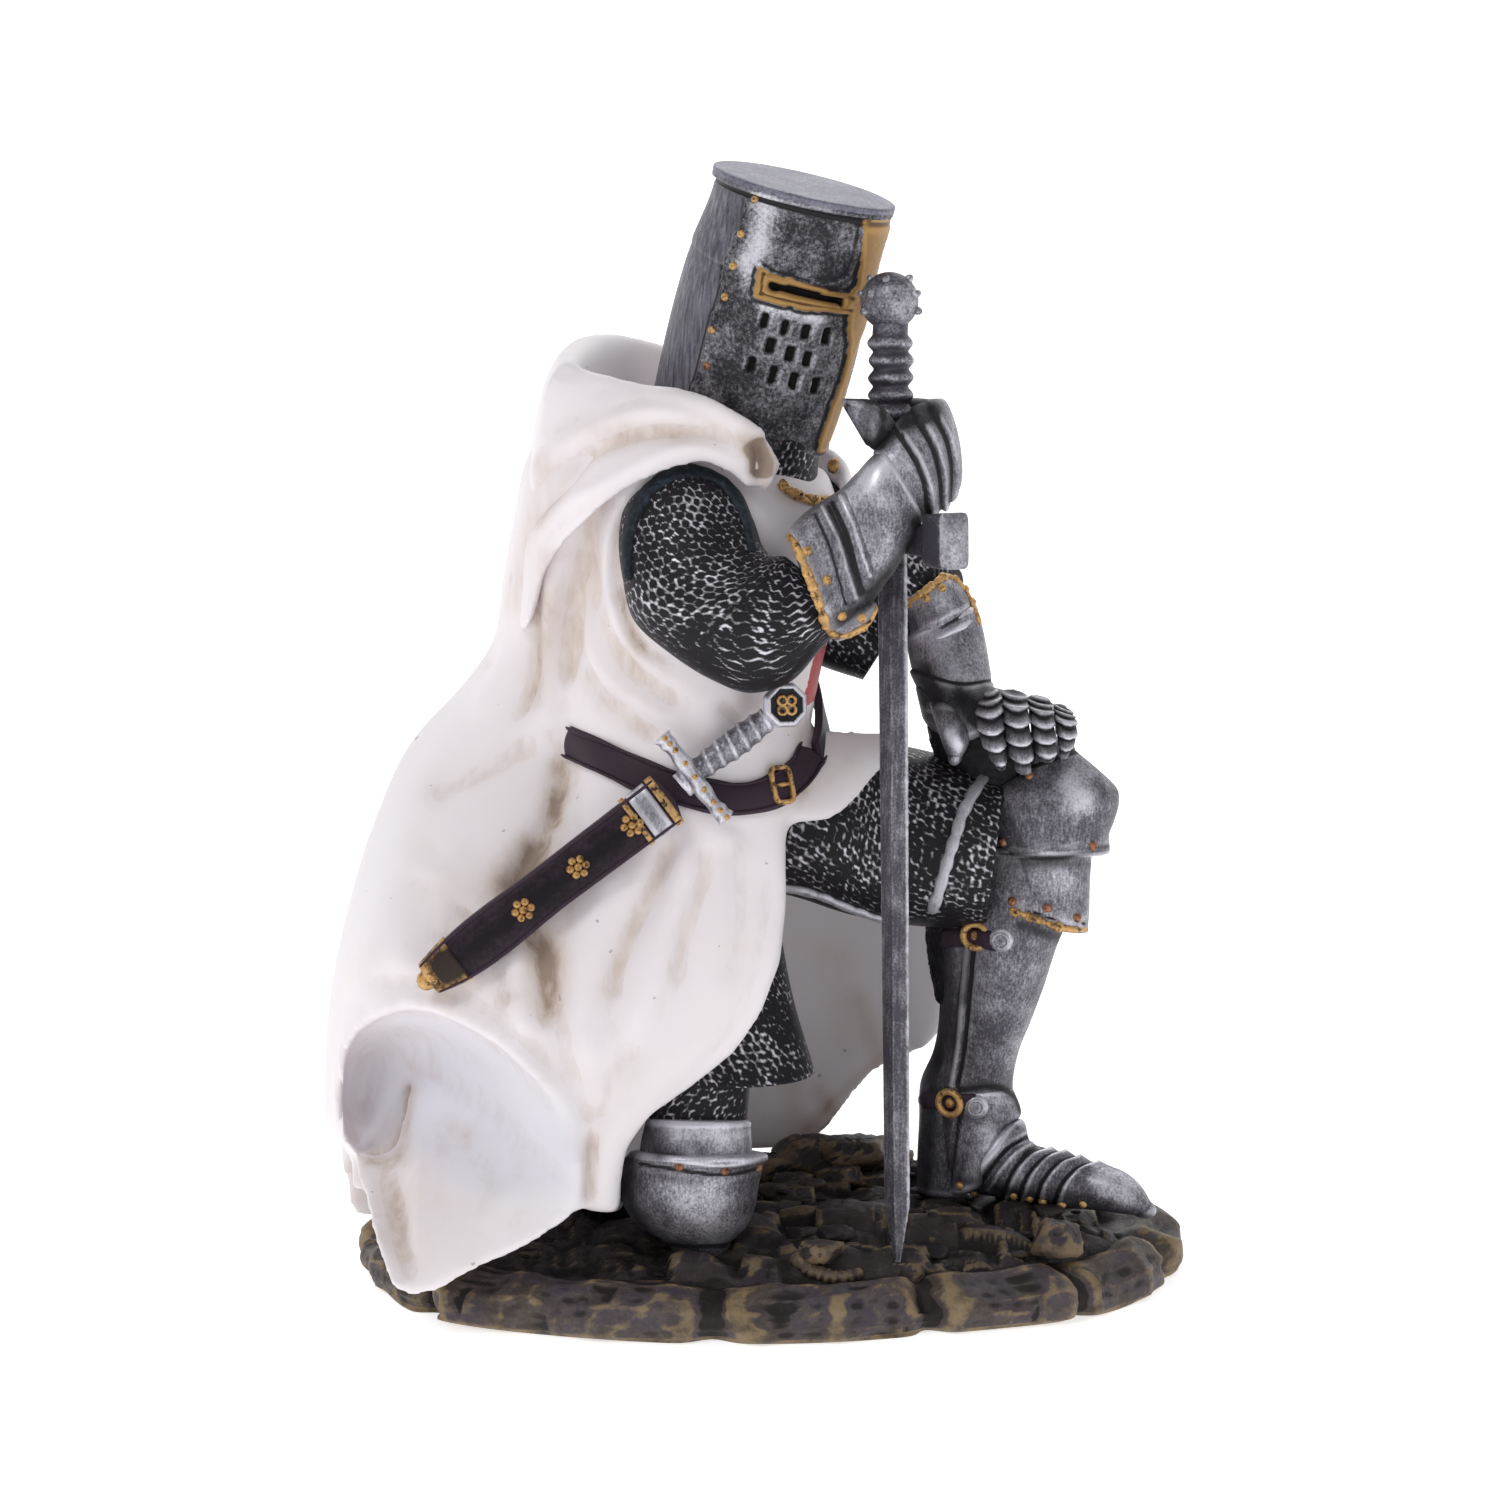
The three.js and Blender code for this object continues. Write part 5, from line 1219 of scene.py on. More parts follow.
leftHand = {
    "pitch": 0.355,
    "cuff": [[902, 604, 948, 574, -4, 7.5], [907, 616, 957, 579, -4, 8], [911, 634, 969, 598, -4.5, 7.8],
             [914, 650, 980, 624, -5, 7.6]],
    "back": [[906, 640, 977, 606, -5, 7], [910, 662, 984, 634, -5.8, 7.4], [915, 680, 989, 662, -7.5, 7.4],
             [922, 698, 991, 684, -9.5, 6.6], [926, 712, 984, 702, -11, 5.6]],
    "palm": [[926, 700, 990, 686, -10, 6.4], [934, 722, 1004, 690, -12, 6.2], [952, 744, 1030, 697, -13, 5]],
    "heel": [[916, 690, 955, 720, -9, 5], [922, 716, 962, 742, -9, 4]],
    "thumb": [[930, 706, 962, 712, -14.5, 3.4], [938, 730, 968, 730, -16, 3.2], [944, 748, 968, 746, -16.5, 2.6],
              [948, 756, 962, 757, -16.5, 1.6]],
    # fingers over the knee, each from its knuckle down
    "fingers": [
        [[980, 700, 1001, 693, -17, 2.4], [976, 714, 1003, 711, -20.4, 2.9], [979, 734, 1004, 732, -21.6, 3],
         [986, 752, 1006, 750, -21.2, 2.8], [993, 763, 1006, 762, -20.4, 2.2]],
        [[1001, 693, 1027, 697, -16, 2.4], [1002, 712, 1029, 714, -20, 2.9], [1005, 735, 1031, 736, -21.2, 3],
         [1009, 754, 1033, 756, -20.8, 2.8], [1014, 765, 1031, 767, -20, 2.2]],
        [[1027, 698, 1053, 704, -14.6, 2.4], [1029, 715, 1054, 719, -19, 2.9], [1032, 737, 1056, 739, -20.2, 3],
         [1036, 753, 1056, 754, -19.6, 2.5]],
        [[1053, 705, 1073, 713, -13.4, 2.4], [1054, 720, 1077, 725, -17.6, 2.9], [1057, 738, 1076, 740, -18.4, 2.8],
         [1059, 750, 1070, 751, -17.6, 2.2]]],
    "scales": 5.2,
    "shade": [([(925, 690), (950, 702), (978, 712)], 15, 0.8), ([(928, 718), (940, 750)], 8, 0.6),
              ([(985, 690), (1010, 700)], 9, 0.6), ([(925, 668), (930, 700)], 10, 0.8),
              ([(975, 720), (990, 742), (1050, 768)], 7, 0.8), ([(960, 690), (975, 710)], 10, 0.7),
              ([(904, 620), (912, 700)], 8, 0.8)],
    "rim": [(903, 606), (921, 594), (934, 584), (948, 576), (959, 583), (971, 602), (980, 625)],
    "rivets": [(926, 598), (942, 588)],
    "lines": {"cuff": [([(908, 637), (930, 624), (966, 606)], 3.2, 0.2, "ridge"),
                       ([(910, 645), (934, 632), (968, 613)], 2.8, -0.2, "groove"),
                       ([(913, 653), (938, 639), (972, 620)], 3.2, 0.2, "ridge")],
              "back": [([(916, 672), (938, 681), (960, 686), (990, 683)], 2.4, 0.55, "lap")]},
    # painted highlights where light catches the gauntlet
    "bright": [([(940, 640), (950, 660), (955, 675)], 12, 0.55), ([(950, 735), (958, 748)], 6, 0.9),
               ([(938, 600), (950, 610)], 7, 0.4)],
}


def plates(piece, source, power, ends):  # the plates named in ends, rounded off by so many mm at either end
    built = {}
    for key, bulges in ends.items():
        form = built[key] = Ribs(source[key], source.get("finer", {}).get(key, source["pitch"]), power, bulges)
        engraved(form, source["lines"].get(key, []))
        spots, facing = seen(form.points.reshape(-1, 3)), (form.normal.reshape(-1, 3) @ -ahead) > 0
        # painted highlights from the bright strokes, painted shade from the shade strokes
        piece.add(form.shell(), bright=brushed(spots, source["bright"], facing),
                  stain=brushed(spots, source["shade"], facing))
    return built


def surfaceOf(forms):
    return Surface(*(form.shell() for form in forms))


def wornRim(piece, surface, line, wide):  # a band with uneven beads on it
    path, normal = surface.along(line)
    k = np.arange(len(path))
    piece.add(trim(path, normal, wide * (0.85 + 0.3 * np.sin(k * 1.3) * np.sin(k * 0.37 + 1)), 0.45), 1)
    for i in range(2, len(path) - 2, 4):
        if dice.random() < 0.8:
            piece.add(pebbled(path[i] + normal[i] * 0.2, normal[i], 0.45 + 0.4 * dice.random(), 0.5), 1)


def makeHands(paints):  # steel, gold
    piece = Piece()
    built = plates(piece, rightHand, 2.4, {"cuff": (0.4, 0.4), "lip": (0.3, 0.6), "back": (1, 1.4),
                                           "fingers": (1.2, 2.6), "tips": (2.2, 2.2), "thumb": (0.4, 1.0)})
    surface = surfaceOf(built.values())
    wornRim(piece, surface, rightHand["rim"], 1.5)
    wornRim(piece, surface, rightHand["lipRim"], 1.3)
    for spot in rightHand["rivets"]:
        piece.add(pebbled(*surface.pin(*spot), 0.75, 0.6), 1)
    piece.make("right_gauntlet", paints)
    piece = Piece()
    built = plates(piece, leftHand, 2.2, {"cuff": (0.3, 0.4), "back": (1, 1), "palm": (1.5, 1.5), "heel": (2, 2),
                                          "thumb": (1.5, 1.4)})
    for finger, rows in enumerate(leftHand["fingers"]):
        form = Ribs(rows, 0.3, 2.2, (1.5, 1.5))
        beat = (form.run / form.run[-1] * leftHand["scales"])[:, None]
        beat = beat + 0.34 * np.cos(form.angle) ** 2 + 0.4 * (finger % 2)
        scale = (beat % 1.0) * ease((1 - beat % 1.0) / 0.2)
        form.push((scale * 1.25 - 0.5) * np.clip(form.normal @ -ahead + 0.25, 0, 1))
        # dark wash and painted shade in the recess under each scale
        piece.add(form.shell(), stain=np.clip(0.7 - scale, 0, 1) * 1.5)
    surface = surfaceOf([built["cuff"], built["back"]])
    wornRim(piece, surface, leftHand["rim"], 1.3)
    for spot in leftHand["rivets"]:
        piece.add(pebbled(*surface.pin(*spot), 0.7, 0.6), 1)
    return piece.make("left_gauntlet", paints)


legs = {
    "pitch": 0.52, "finer": {"foot": 0.36, "rightKnee": 0.41, "knee": 0.41},
    "knee": [[1022, 770, 1075, 750, -9, 5.5], [998, 783, 1101, 772, -9, 8], [985, 796, 1116, 787, -9, 9.2],
             [982, 813, 1119, 801, -9, 9.8], [986, 828, 1114, 821, -9, 9.8], [995, 848, 1109, 835, -9.3, 9.4],
             [1000, 857, 1109, 853, -9.5, 9.3]],
    "lowLame": [[1004, 850, 1092, 850, -9.5, 8], [1003, 880, 1090, 880, -9.3, 7.8], [1004, 905, 1089, 915, -9, 7.9],
                [1008, 914, 1088, 933, -9, 8.2]],
    "greave": [[975, 850, 1086, 850, -8, 7.6], [962, 900, 1074, 905, -7.5, 9], [955, 945, 1057, 945, -6.5, 9.6],
               [950, 985, 1044, 985, -5.5, 9.2], [946, 1020, 1031, 1020, -4.5, 8.4], [940, 1055, 1019, 1050, -3.4, 7.4],
               [936, 1085, 1013, 1080, -2.5, 6.4], [934, 1104, 1013, 1100, -1.6, 6.2]],
    "calf": [[942, 800, 990, 800, -5, 6.5], [938, 850, 990, 850, -4.5, 7.6], [936, 905, 985, 905, -4, 8.4],
             [938, 950, 980, 950, -3.5, 8.6], [940, 1000, 975, 1000, -2.5, 7.8], [933, 1052, 965, 1050, -1.2, 6.6],
             [921, 1080, 960, 1080, -0.6, 5.8], [919, 1120, 960, 1120, -0.4, 5.4], [917, 1165, 965, 1165, 0.2, 5.2],
             [917, 1190, 975, 1196, 0.8, 5.6]],
    "ankle": [[934, 1090, 1013, 1088, -2.2, 6.2], [936, 1115, 1021, 1113, -2.4, 6.2],
              [944, 1145, 1010, 1128, -3.4, 6.4],
              [950, 1175, 990, 1160, -4.4, 6.6], [950, 1192, 985, 1180, -4.6, 6.6]],
    "foot": [[958, 1190, 1012, 1121, -3.6, 6.4], [974, 1194, 1025, 1126, -4.4, 6.6], [992, 1196, 1030, 1141, -5.4, 6.6],
             [1012, 1199, 1050, 1149, -6.8, 6.5], [1032, 1202, 1070, 1154, -8.2, 6.4],
             [1052, 1205, 1087, 1160, -9.4, 6.2],
             [1072, 1207, 1104, 1165, -10.6, 6], [1096, 1210, 1125, 1172, -11.8, 5.6],
             [1118, 1213, 1142, 1187, -13, 4.9],
             [1134, 1215, 1151, 1202, -13.8, 3.6]],
    "rightKnee": [[668, 1243, 728, 1244, -28, 4.4], [640, 1226, 746, 1227, -28.2, 7.4],
                  [624, 1206, 755, 1207, -28.4, 8.8], [619, 1184, 759, 1184, -28.5, 9.4],
                  [622, 1162, 764, 1163, -28.5, 9.6], [630, 1152, 767, 1154, -28.5, 9.8]],
    "rightBand": [[640, 1168, 752, 1160, -28, 7.8], [640, 1150, 752, 1148, -28, 7.8],
                  [646, 1119, 750, 1120, -27.6, 7.6]],
    "lines": {
        "knee": [([(1112, 840), (1108, 850), (1060, 853), (1010, 847)], 2, 0.14, "ridge"),
                 ([(986, 820), (998, 846)], 2, 0.2, "ridge")],
        "lowLame": [([(1090, 921), (1078, 927), (1047, 917), (1008, 906)], 1.8, -0.25, "groove")],
        "greave": [([(985, 870), (975, 930), (969, 990), (962, 1060), (957, 1086)], 2.2, -0.55, "groove"),
                   ([(979, 870), (969, 930), (963, 990), (956, 1060), (951, 1086)], 2.2, 0.4, "ridge")],
        "ankle": [([(960, 1110), (954, 1150), (948, 1190)], 2.2, -0.35, "groove")],
        "foot": [([(970, 1182), (984, 1162), (1003, 1137), (1022, 1122)], 4.5, 0.7, "ridge"),
                 ([(979, 1186), (992, 1166), (1012, 1144), (1027, 1137)], 2, -0.6, "groove"),
                 ([(989, 1190), (1003, 1168), (1018, 1152), (1032, 1144)], 2.2, 0.35, "ridge"),
                 ([(1006, 1194), (1013, 1176), (1030, 1156), (1048, 1149)], 2, 0.75, "lap"),
                 ([(1022, 1197), (1029, 1178), (1046, 1160), (1062, 1153)], 2, 0.75, "lap"),
                 ([(1039, 1200), (1045, 1182), (1060, 1166), (1077, 1158)], 2, 0.75, "lap"),
                 ([(1057, 1203), (1064, 1185), (1078, 1171), (1095, 1164)], 2, 0.8, "lap")],
        "rightBand": [([(650, 1122), (700, 1122), (749, 1123)], 2, 0.25, "ridge")],
        "rightKnee": [([(640, 1155), (682, 1161), (713, 1165), (739, 1164), (766, 1158)], 2.6, 0.4, "ridge"),
                      ([(640, 1164), (682, 1171), (713, 1175), (739, 1174), (766, 1167)], 2.6, -0.25, "groove")],
    },
    # painted highlights where light catches the leg plates
    "bright": [([(1070, 782), (1082, 802)], 13, 0.9), ([(700, 1190), (712, 1225)], 26, 0.6),
               ([(683, 1130), (735, 1135)], 12, 0.45),
               ([(985, 1130), (990, 1145)], 10, 0.6), ([(1100, 1178), (1125, 1190)], 12, 0.8),
               ([(1030, 1010), (1010, 1060)], 10, 0.2),
               ([(1040, 880), (1070, 885)], 16, 0.2)],
    "shade": [([(630, 1160), (628, 1200), (650, 1240)], 12, 0.9), ([(650, 1250), (700, 1254), (745, 1240)], 7, 0.7),
              ([(645, 1125), (660, 1155)], 10, 0.7), ([(1000, 853), (1055, 858), (1108, 848)], 3, 0.9),
              ([(960, 1090), (1000, 1088), (1015, 1096), (1022, 1112)], 4, 1.2), ([(655, 1176), (700, 1182)], 5, 0.4),
              ([(936, 1060), (925, 1190)], 12, 0.8),
              ([(940, 880), (945, 1040)], 20, 0.8), ([(985, 870), (975, 920), (966, 1000)], 7, 0.5),
              ([(1000, 780), (990, 830)], 8, 0.5), ([(1010, 864), (1090, 864)], 5, 0.6),
              ([(960, 1180), (1030, 1196)], 8, 0.8),
              ([(1040, 1205), (1150, 1217)], 6, 0.8), ([(1100, 800), (1116, 790)], 5, 0.3),
              ([(1020, 925), (1080, 945)], 6, 0.8)],
    "goldEdge": [(1009, 910), (1030, 917), (1047, 923), (1062, 929), (1077, 933), (1087, 929)],
    "copperRivets": [(992, 801), (1003, 842), (1030, 776), (1093, 846), (1012, 901), (1047, 908), (1077, 918)],
    "goldRivets": [(679, 1167), (725, 1171), (758, 1168), (960, 1186), (974, 1193), (1014, 1196), (1030, 1199),
                   (1043, 1202), (1062, 1205), (1083, 1204)],
    "buckles": [(977, 935, 1.9), (952, 1102, 1.9)],
    "straps": [([(941, 938), (977, 938), (1001, 943)], 3), ([(920, 1100), (950, 1102), (979, 1103)], 2.8)],
}


def makeLegs(paints):  # steel, gold, copper, dark strap
    piece = Piece()
    built = plates(piece, legs, 2.2, {"knee": (3.2, 0.4), "lowLame": (0.2, 0.4), "greave": (1, 1), "calf": (2, 1),
                                      "ankle": (0.8, 0.8), "foot": (1, 2.0)})
    surface = surfaceOf(built.values())
    wornRim(piece, surface, legs["goldEdge"], 1.2)
    for line, wide in legs["straps"]:
        path, normal = surface.along(line)
        piece.add(trim(path, normal, wide, 0.6), 3)
    for x, y, radius in legs["buckles"]:
        p, normal = surface.pin(x, y)
        piece.add(ring(p + normal * 0.8, normal, radius, 0.55, 0.95), 1)
        piece.add(dome(p + normal * 0.4, normal, 0.8, 0.8), 1)
        p, normal = surface.pin(x + 24, y + 5)
        piece.add(dome(p, normal, 1.9, 0.9, around=16), 0)
        piece.add(ring(p + normal * 0.7, normal, 1.1, 0.3), 0)
    for spot in legs["copperRivets"]:
        piece.add(pebbled(*surface.pin(*spot), 0.72, 0.65), 2)
    low = surfaceOf(plates(piece, legs, 2.1, {"rightKnee": (3.5, 0.5), "rightBand": (0.3, 0.3)}).values())
    for x, y in legs["goldRivets"]:  # copper on the kneeling knee
        piece.add(pebbled(*(low if x < 800 else surface).pin(x, y), 0.66, 0.6), 2 if x < 800 else 1)
    return piece.make("leg_armour", paints)


swordShape = {
    "tip": (21.7, -36, 9.6), "head": (20.2, -27, 149.4), "turn": -58, "guard": 106.0,
    "point": 9.0,  # length of the point, in mm, then the half widths at its end and at the guard
    "blade": (3.05, 3.7), "grip": 2.55, "knob": 4.2, "arm": 16.0,
    # the section: a flat, a bevel and an edge on either side
    "section": [(-0.95, 0), (-0.52, 0.98), (-0.3, 1), (0.2, 1), (0.32, 0.98), (1, 0.05), (1, -0.05), (0.32, -0.98),
                (0.2, -1), (-0.3, -1), (-0.52, -0.98), (-0.95, -0.05)],
    "studs": ((-0.35, 7), (0.25, 7), (0.85, 4)),  # tiers of studs on the pommel: their height, and how many
}


def swordFrame():
    tip, head = np.array(swordShape["tip"], float), np.array(swordShape["head"], float)
    z = unit(head - tip)
    a = math.radians(swordShape["turn"])
    x = np.array([math.cos(a), math.sin(a), 0.0])
    x = unit(x - z * (x @ z))
    return tip, x, np.cross(z, x), z, np.linalg.norm(head - tip)


def makeSword(paints):  # blade steel, dark steel
    tip, x, y, z, reach = swordFrame()
    guard, point, (narrow, broadEnd) = swordShape["guard"], swordShape["point"], swordShape["blade"]
    piece = Piece()
    stops = np.concatenate([np.linspace(0, point, 26), np.linspace(9.5, guard, 130)])
    corner = np.array(swordShape["section"], float)
    section = np.concatenate([np.linspace(a, b, 4, endpoint=False) for a, b in zip(corner, np.roll(corner, -1, 0))])
    half = np.where(stops < point, 0.35 + (narrow - 0.35) * (stops / point) ** 0.85,
                    narrow + (broadEnd - narrow) * np.clip((stops - point) / 80, 0, 1))
    thick = np.where(stops < point, 0.35 + 0.95 * (stops / point) ** 0.8, 1.3)
    nick = 0.05 * np.sin(stops * 1.7) * np.sin(stops * 0.63 + 1) + 0.03 * np.sin(stops * 4.1)
    piece.add(shell((tip + z * stops[:, None])[:, None] + x * ((half + nick)[:, None] * section[:, 0])[..., None]
                    + y * (thick[:, None] * section[:, 1])[..., None]))
    # grip with its rings, neck and pommel
    h = np.linspace(guard - 2, reach + 0.5, 200)
    f = (h - (guard + 0.42 * (reach - guard))) / ((reach - guard) * 0.44)
    rings = np.where((f > 0) & (f < 1), 0.5 - 0.5 * np.cos(f * 2 * math.pi * 6), 0)
    radius = swordShape["grip"] + 0.75 * rings ** 0.7
    angle = oval(40)[0]
    out = wheel(x, y, angle)
    wobble = 1 + 0.03 * np.sin(angle * 3 + h[:, None] * 0.9)
    piece.add(shell((tip + z * h[:, None])[:, None] + out * (radius[:, None] * wobble)[..., None]), 1)
    fall = np.linspace(-math.pi / 2 * 0.98, math.pi / 2 * 0.98, 46)
    knob = swordShape["knob"] * (1 + 0.03 * np.sin(3 * angle[None] + 2) * np.cos(fall)[:, None])
    ball = out * np.cos(fall)[:, None, None] + (z * np.sin(fall)[:, None])[:, None]
    piece.add(shell(tip + z * reach + ball * knob[..., None]), 1)
    for tier, count in swordShape["studs"]:
        for way in wheel(x, y, oval(count)[0] + math.pi * (tier > 0) / count):
            way = way * math.cos(tier) + z * math.sin(tier)
            piece.add(dome(tip + z * reach + way * 4.15, way, 0.62, 0.75), 1)
    # cross guard with a waist and flared, flat-ended blocks
    arm = np.linspace(-swordShape["arm"], swordShape["arm"], 150)
    far = np.abs(arm) / swordShape["arm"]
    tall = 2.0 + 0.35 * ease((far - 0.2) / 0.4) + 1.45 * ease((far - 0.66) / 0.05) + 0.25 * ease((far - 0.7) / 0.3)
    deep = 2.1 + 0.3 * ease((far - 0.66) / 0.05)
    _, c, s = oval(40, 7)
    piece.add(shell((tip + z * guard + x * arm[:, None])[:, None] + z * (tall[:, None] * c)[..., None]
                    + y * (deep[:, None] * s)[..., None]), 1)
    return piece.make("upright_sword", paints, node="sword", slot="painted_sword")


rocks = {
    "half": (62.4, 42.3), "centre": (2, -4.2), "round": 2.3,
    "seams": [217, 264.8, 291.5, 318.7, 352, 24, 62, 101, 139, 178],  # degrees round the rim
    "profile": [[1.8, 0], [0.6, 0.9], [0.1, 2.4], [0.35, 4.9], [2.2, 6.5], [5.2, 7.75], [6.4, 7.5], [7.6, 6.9],
                [9.2, 7.9],
                [12.5, 9.6], [16, 10.7], [20, 11.3]],
    "spots": [[0.1, 0.19], [0.28, 0.24], [0.47, -0.32], [0.63, 0.42], [0.7, -0.53], [0.13, -0.76]],
    "heap": [(3, 9, 13, 3.8), (9, 11, 14.5, 5.2), (16, 10, 14.5, 4.8), (21, 12, 13, 3.6), (13, 4, 12.6, 3),
             (26, 9, 12.4, 2.8),
             (-3, 8, 12.6, 3), (6, 2, 12.2, 2.6)],
    "spine": [(797, 1258), (815, 1272), (838, 1279), (862, 1274)],
    "swordPoint": (21.7, -36),
    "groundLevel": 11.35, "pebbles": 120,
}


def rimPoint(angle, inset):
    x = rounded(np.cos(angle), rocks["round"]) * (rocks["half"][0] - inset)
    y = rounded(np.sin(angle), rocks["round"]) * (rocks["half"][1] - inset)
    return rocks["centre"][0] + x, rocks["centre"][1] + y


def stones(places, spacing, lift, lean, bulge):  # the highest of the tilted faces round each place
    low = places.min(0) - 3 * spacing
    count = np.ceil((places.max(0) - low) / spacing).astype(int) + 3
    shift = dice.random((*count, 2)) * 0.95
    height, slope = dice.random(count) * lift, dice.normal(0, lean, (*count, 2))
    cell = ((places - low) / spacing).astype(int)
    best = np.full(len(places), -99.0)
    for dx in (-1, 0, 1):
        for dy in (-1, 0, 1):
            i, j = cell[:, 0] + dx, cell[:, 1] + dy
            gap = places - (low + (np.stack([i, j], 1) + shift[i, j]) * spacing)
            best = np.maximum(best, height[i, j] + (gap * slope[i, j]).sum(1) - bulge * (gap ** 2).sum(1))
    return best


def boulder(centre, size, flat=0.85, faces=11):
    around, rings = (15, 9) if size < 2 else (32, 19)
    a, f = np.meshgrid(np.linspace(0, 2 * math.pi, around, endpoint=False), np.linspace(-1.5, 1.5, rings))
    way = np.stack([np.cos(f) * np.cos(a), np.cos(f) * np.sin(a), np.sin(f)], -1)
    n = unit(dice.normal(0, 1, (faces, 3)))
    n = np.vstack([n, [[0, 0, 1], [0, 0, -1]]])
    far = np.concatenate([0.62 + 0.34 * dice.random(faces), [0.7, 0.8]])
    reach = np.min(far / np.maximum(way @ n.T, 0.12), axis=2)
    reach = np.minimum(reach, 1.25) * (1 + 0.03 * dice.normal(0, 1, reach.shape))
    return shell(np.asarray(centre) + way * reach[..., None] * size * np.array([1.25, 1.0, flat]))


def makeRocks(paint):
    angle = oval(430)[0]
    profile = np.array(rocks["profile"])
    step = np.concatenate([[0], np.cumsum(np.linalg.norm(np.diff(profile, axis=0), axis=1))])
    v = np.concatenate([np.arange(0, step[-1], 0.45), [step[-1]]])
    inset, level = np.interp(v, step, profile[:, 0]), np.interp(v, step, profile[:, 1])
    bearing = np.degrees(angle)
    seam = np.min([np.abs((bearing - s + 180) % 360 - 180) for s in rocks["seams"]], 0)
    stone = np.searchsorted(np.sort(rocks["seams"]), bearing) % len(rocks["seams"])
    drop = dice.normal(0, 0.35, len(rocks["seams"]))[stone]
    swell = 1.4 * np.sin(3 * angle + 1) + 0.7 * np.sin(7 * angle)
    onRim = ease((9.0 - inset) / 2.0)[:, None]
    gap = np.exp(-(seam / 2.3) ** 2)[None] * onRim
    x, y = rimPoint(angle[None], inset[:, None] + gap * 2.7 - swell[None] * onRim)
    arc = np.concatenate([[0], np.cumsum(np.hypot(np.diff(x[6]), np.diff(y[6])))])
    flat = np.stack([np.tile(arc, len(v)), np.repeat(v, len(arc)) * 1.25], 1)
    face = -(stones(flat, 9.0, 1.7, 0.19, 0.035) + 0.4 * stones(flat, 3.2, 1.0, 0.26, 0.08)).reshape(x.shape)
    face = np.clip(face - np.median(face), -1.7, 0.9)
    steep = ease((6.0 - inset) / 5.0)[:, None] * ease(v / 1.2)[:, None]
    x, y = x + np.cos(angle) * face * steep * 0.9, y + np.sin(angle) * face * steep * 0.9
    z = level[:, None] + onRim * ease((v - 1.5) / 3.5)[:, None] * (face * 0.6 - gap * 1.3 + drop[None] * 0.6)
    # the rough ground inside the ring of stones
    u = np.linspace(0, 1, 58)[1:] ** 1.08 * 0.985
    centre, half = np.array(rocks["centre"]), np.array(rocks["half"])
    hub = centre + np.stack([np.cos(angle) * 17, np.zeros(len(angle))], -1)
    inner = np.stack([x[-1], y[-1]], -1)
    bed = inner + (hub - inner) * u[:, None, None]
    bed = np.concatenate([bed, np.full((*bed.shape[:2], 1), rocks["groundLevel"])], -1)
    points = np.concatenate([np.stack([x, y, z], -1), bed])
    places = points[..., :2].reshape(-1, 2)
    depths = np.concatenate([inset, np.full(len(u), 25.0)])
    rubble = (stones(places, 5.4, 3.2, 0.42, 0.05) - 0.5 * stones(places, 2.4, 1.2, 0.4, 0.08)
              - 0.22 * stones(places, 1.1, 0.8, 0.4, 0.15)).reshape(points.shape[:2])
    rubble = rubble - np.median(rubble)
    points[..., 2] += ease((depths[:, None] - 6.8) / 4.0) * 2.2 * np.tanh(rubble / 2.2)
    inside = np.repeat(ease((depths - 5.5) / 4.0), len(angle))
    piece, top = Piece(), shell(points)
    piece.add(top, inside=np.append(inside, [0, 1]))
    for i, spot in enumerate(rocks["spots"]):
        piece.add(boulder([*(centre + spot * half), 11.2], 3.0 * (0.85 + 0.1 * (i % 5))), inside=[0.7])
    for *spot, size in [(21.9, -34.6, 8.0, 2.4), *rocks["heap"]]:
        piece.add(boulder(spot, size), inside=[1.0])
    bed = Surface(top)
    for _ in range(rocks["pebbles"]):
        a, r = dice.random() * 2 * math.pi, dice.random() ** 0.6
        spot = centre + (np.array(rimPoint(a, 9.5)) - centre) * r
        hit = bed.tree.ray_cast(Vector((*spot, 30.0)), Vector((0, 0, -1)))[0]
        size = 0.7 + 1.5 * dice.random() ** 3
        if hit is None or np.hypot(*(spot - rocks["swordPoint"])) < size + 2.4:
            continue
        piece.add(boulder([*spot, hit.z + 0.1 * size], size, 0.7, 9), inside=[2.0 + 0.5 * dice.random()])
    # a ridged shell caught among the stones
    path, normal = bed.along(rocks["spine"], 0.25, 0.3)
    body = 0.75 + 0.25 * np.cos(np.arange(len(path)) * 0.25 * 2 * math.pi / 1.05)
    piece.add(trim(path, normal, 3.0 * (0.6 + 0.4 * body) * np.linspace(1.0, 0.55, len(path)), 1.0, around=16))
    return piece.make("rocky_ground", [paint], node="rock_base", slot="painted_rock", wide=18)


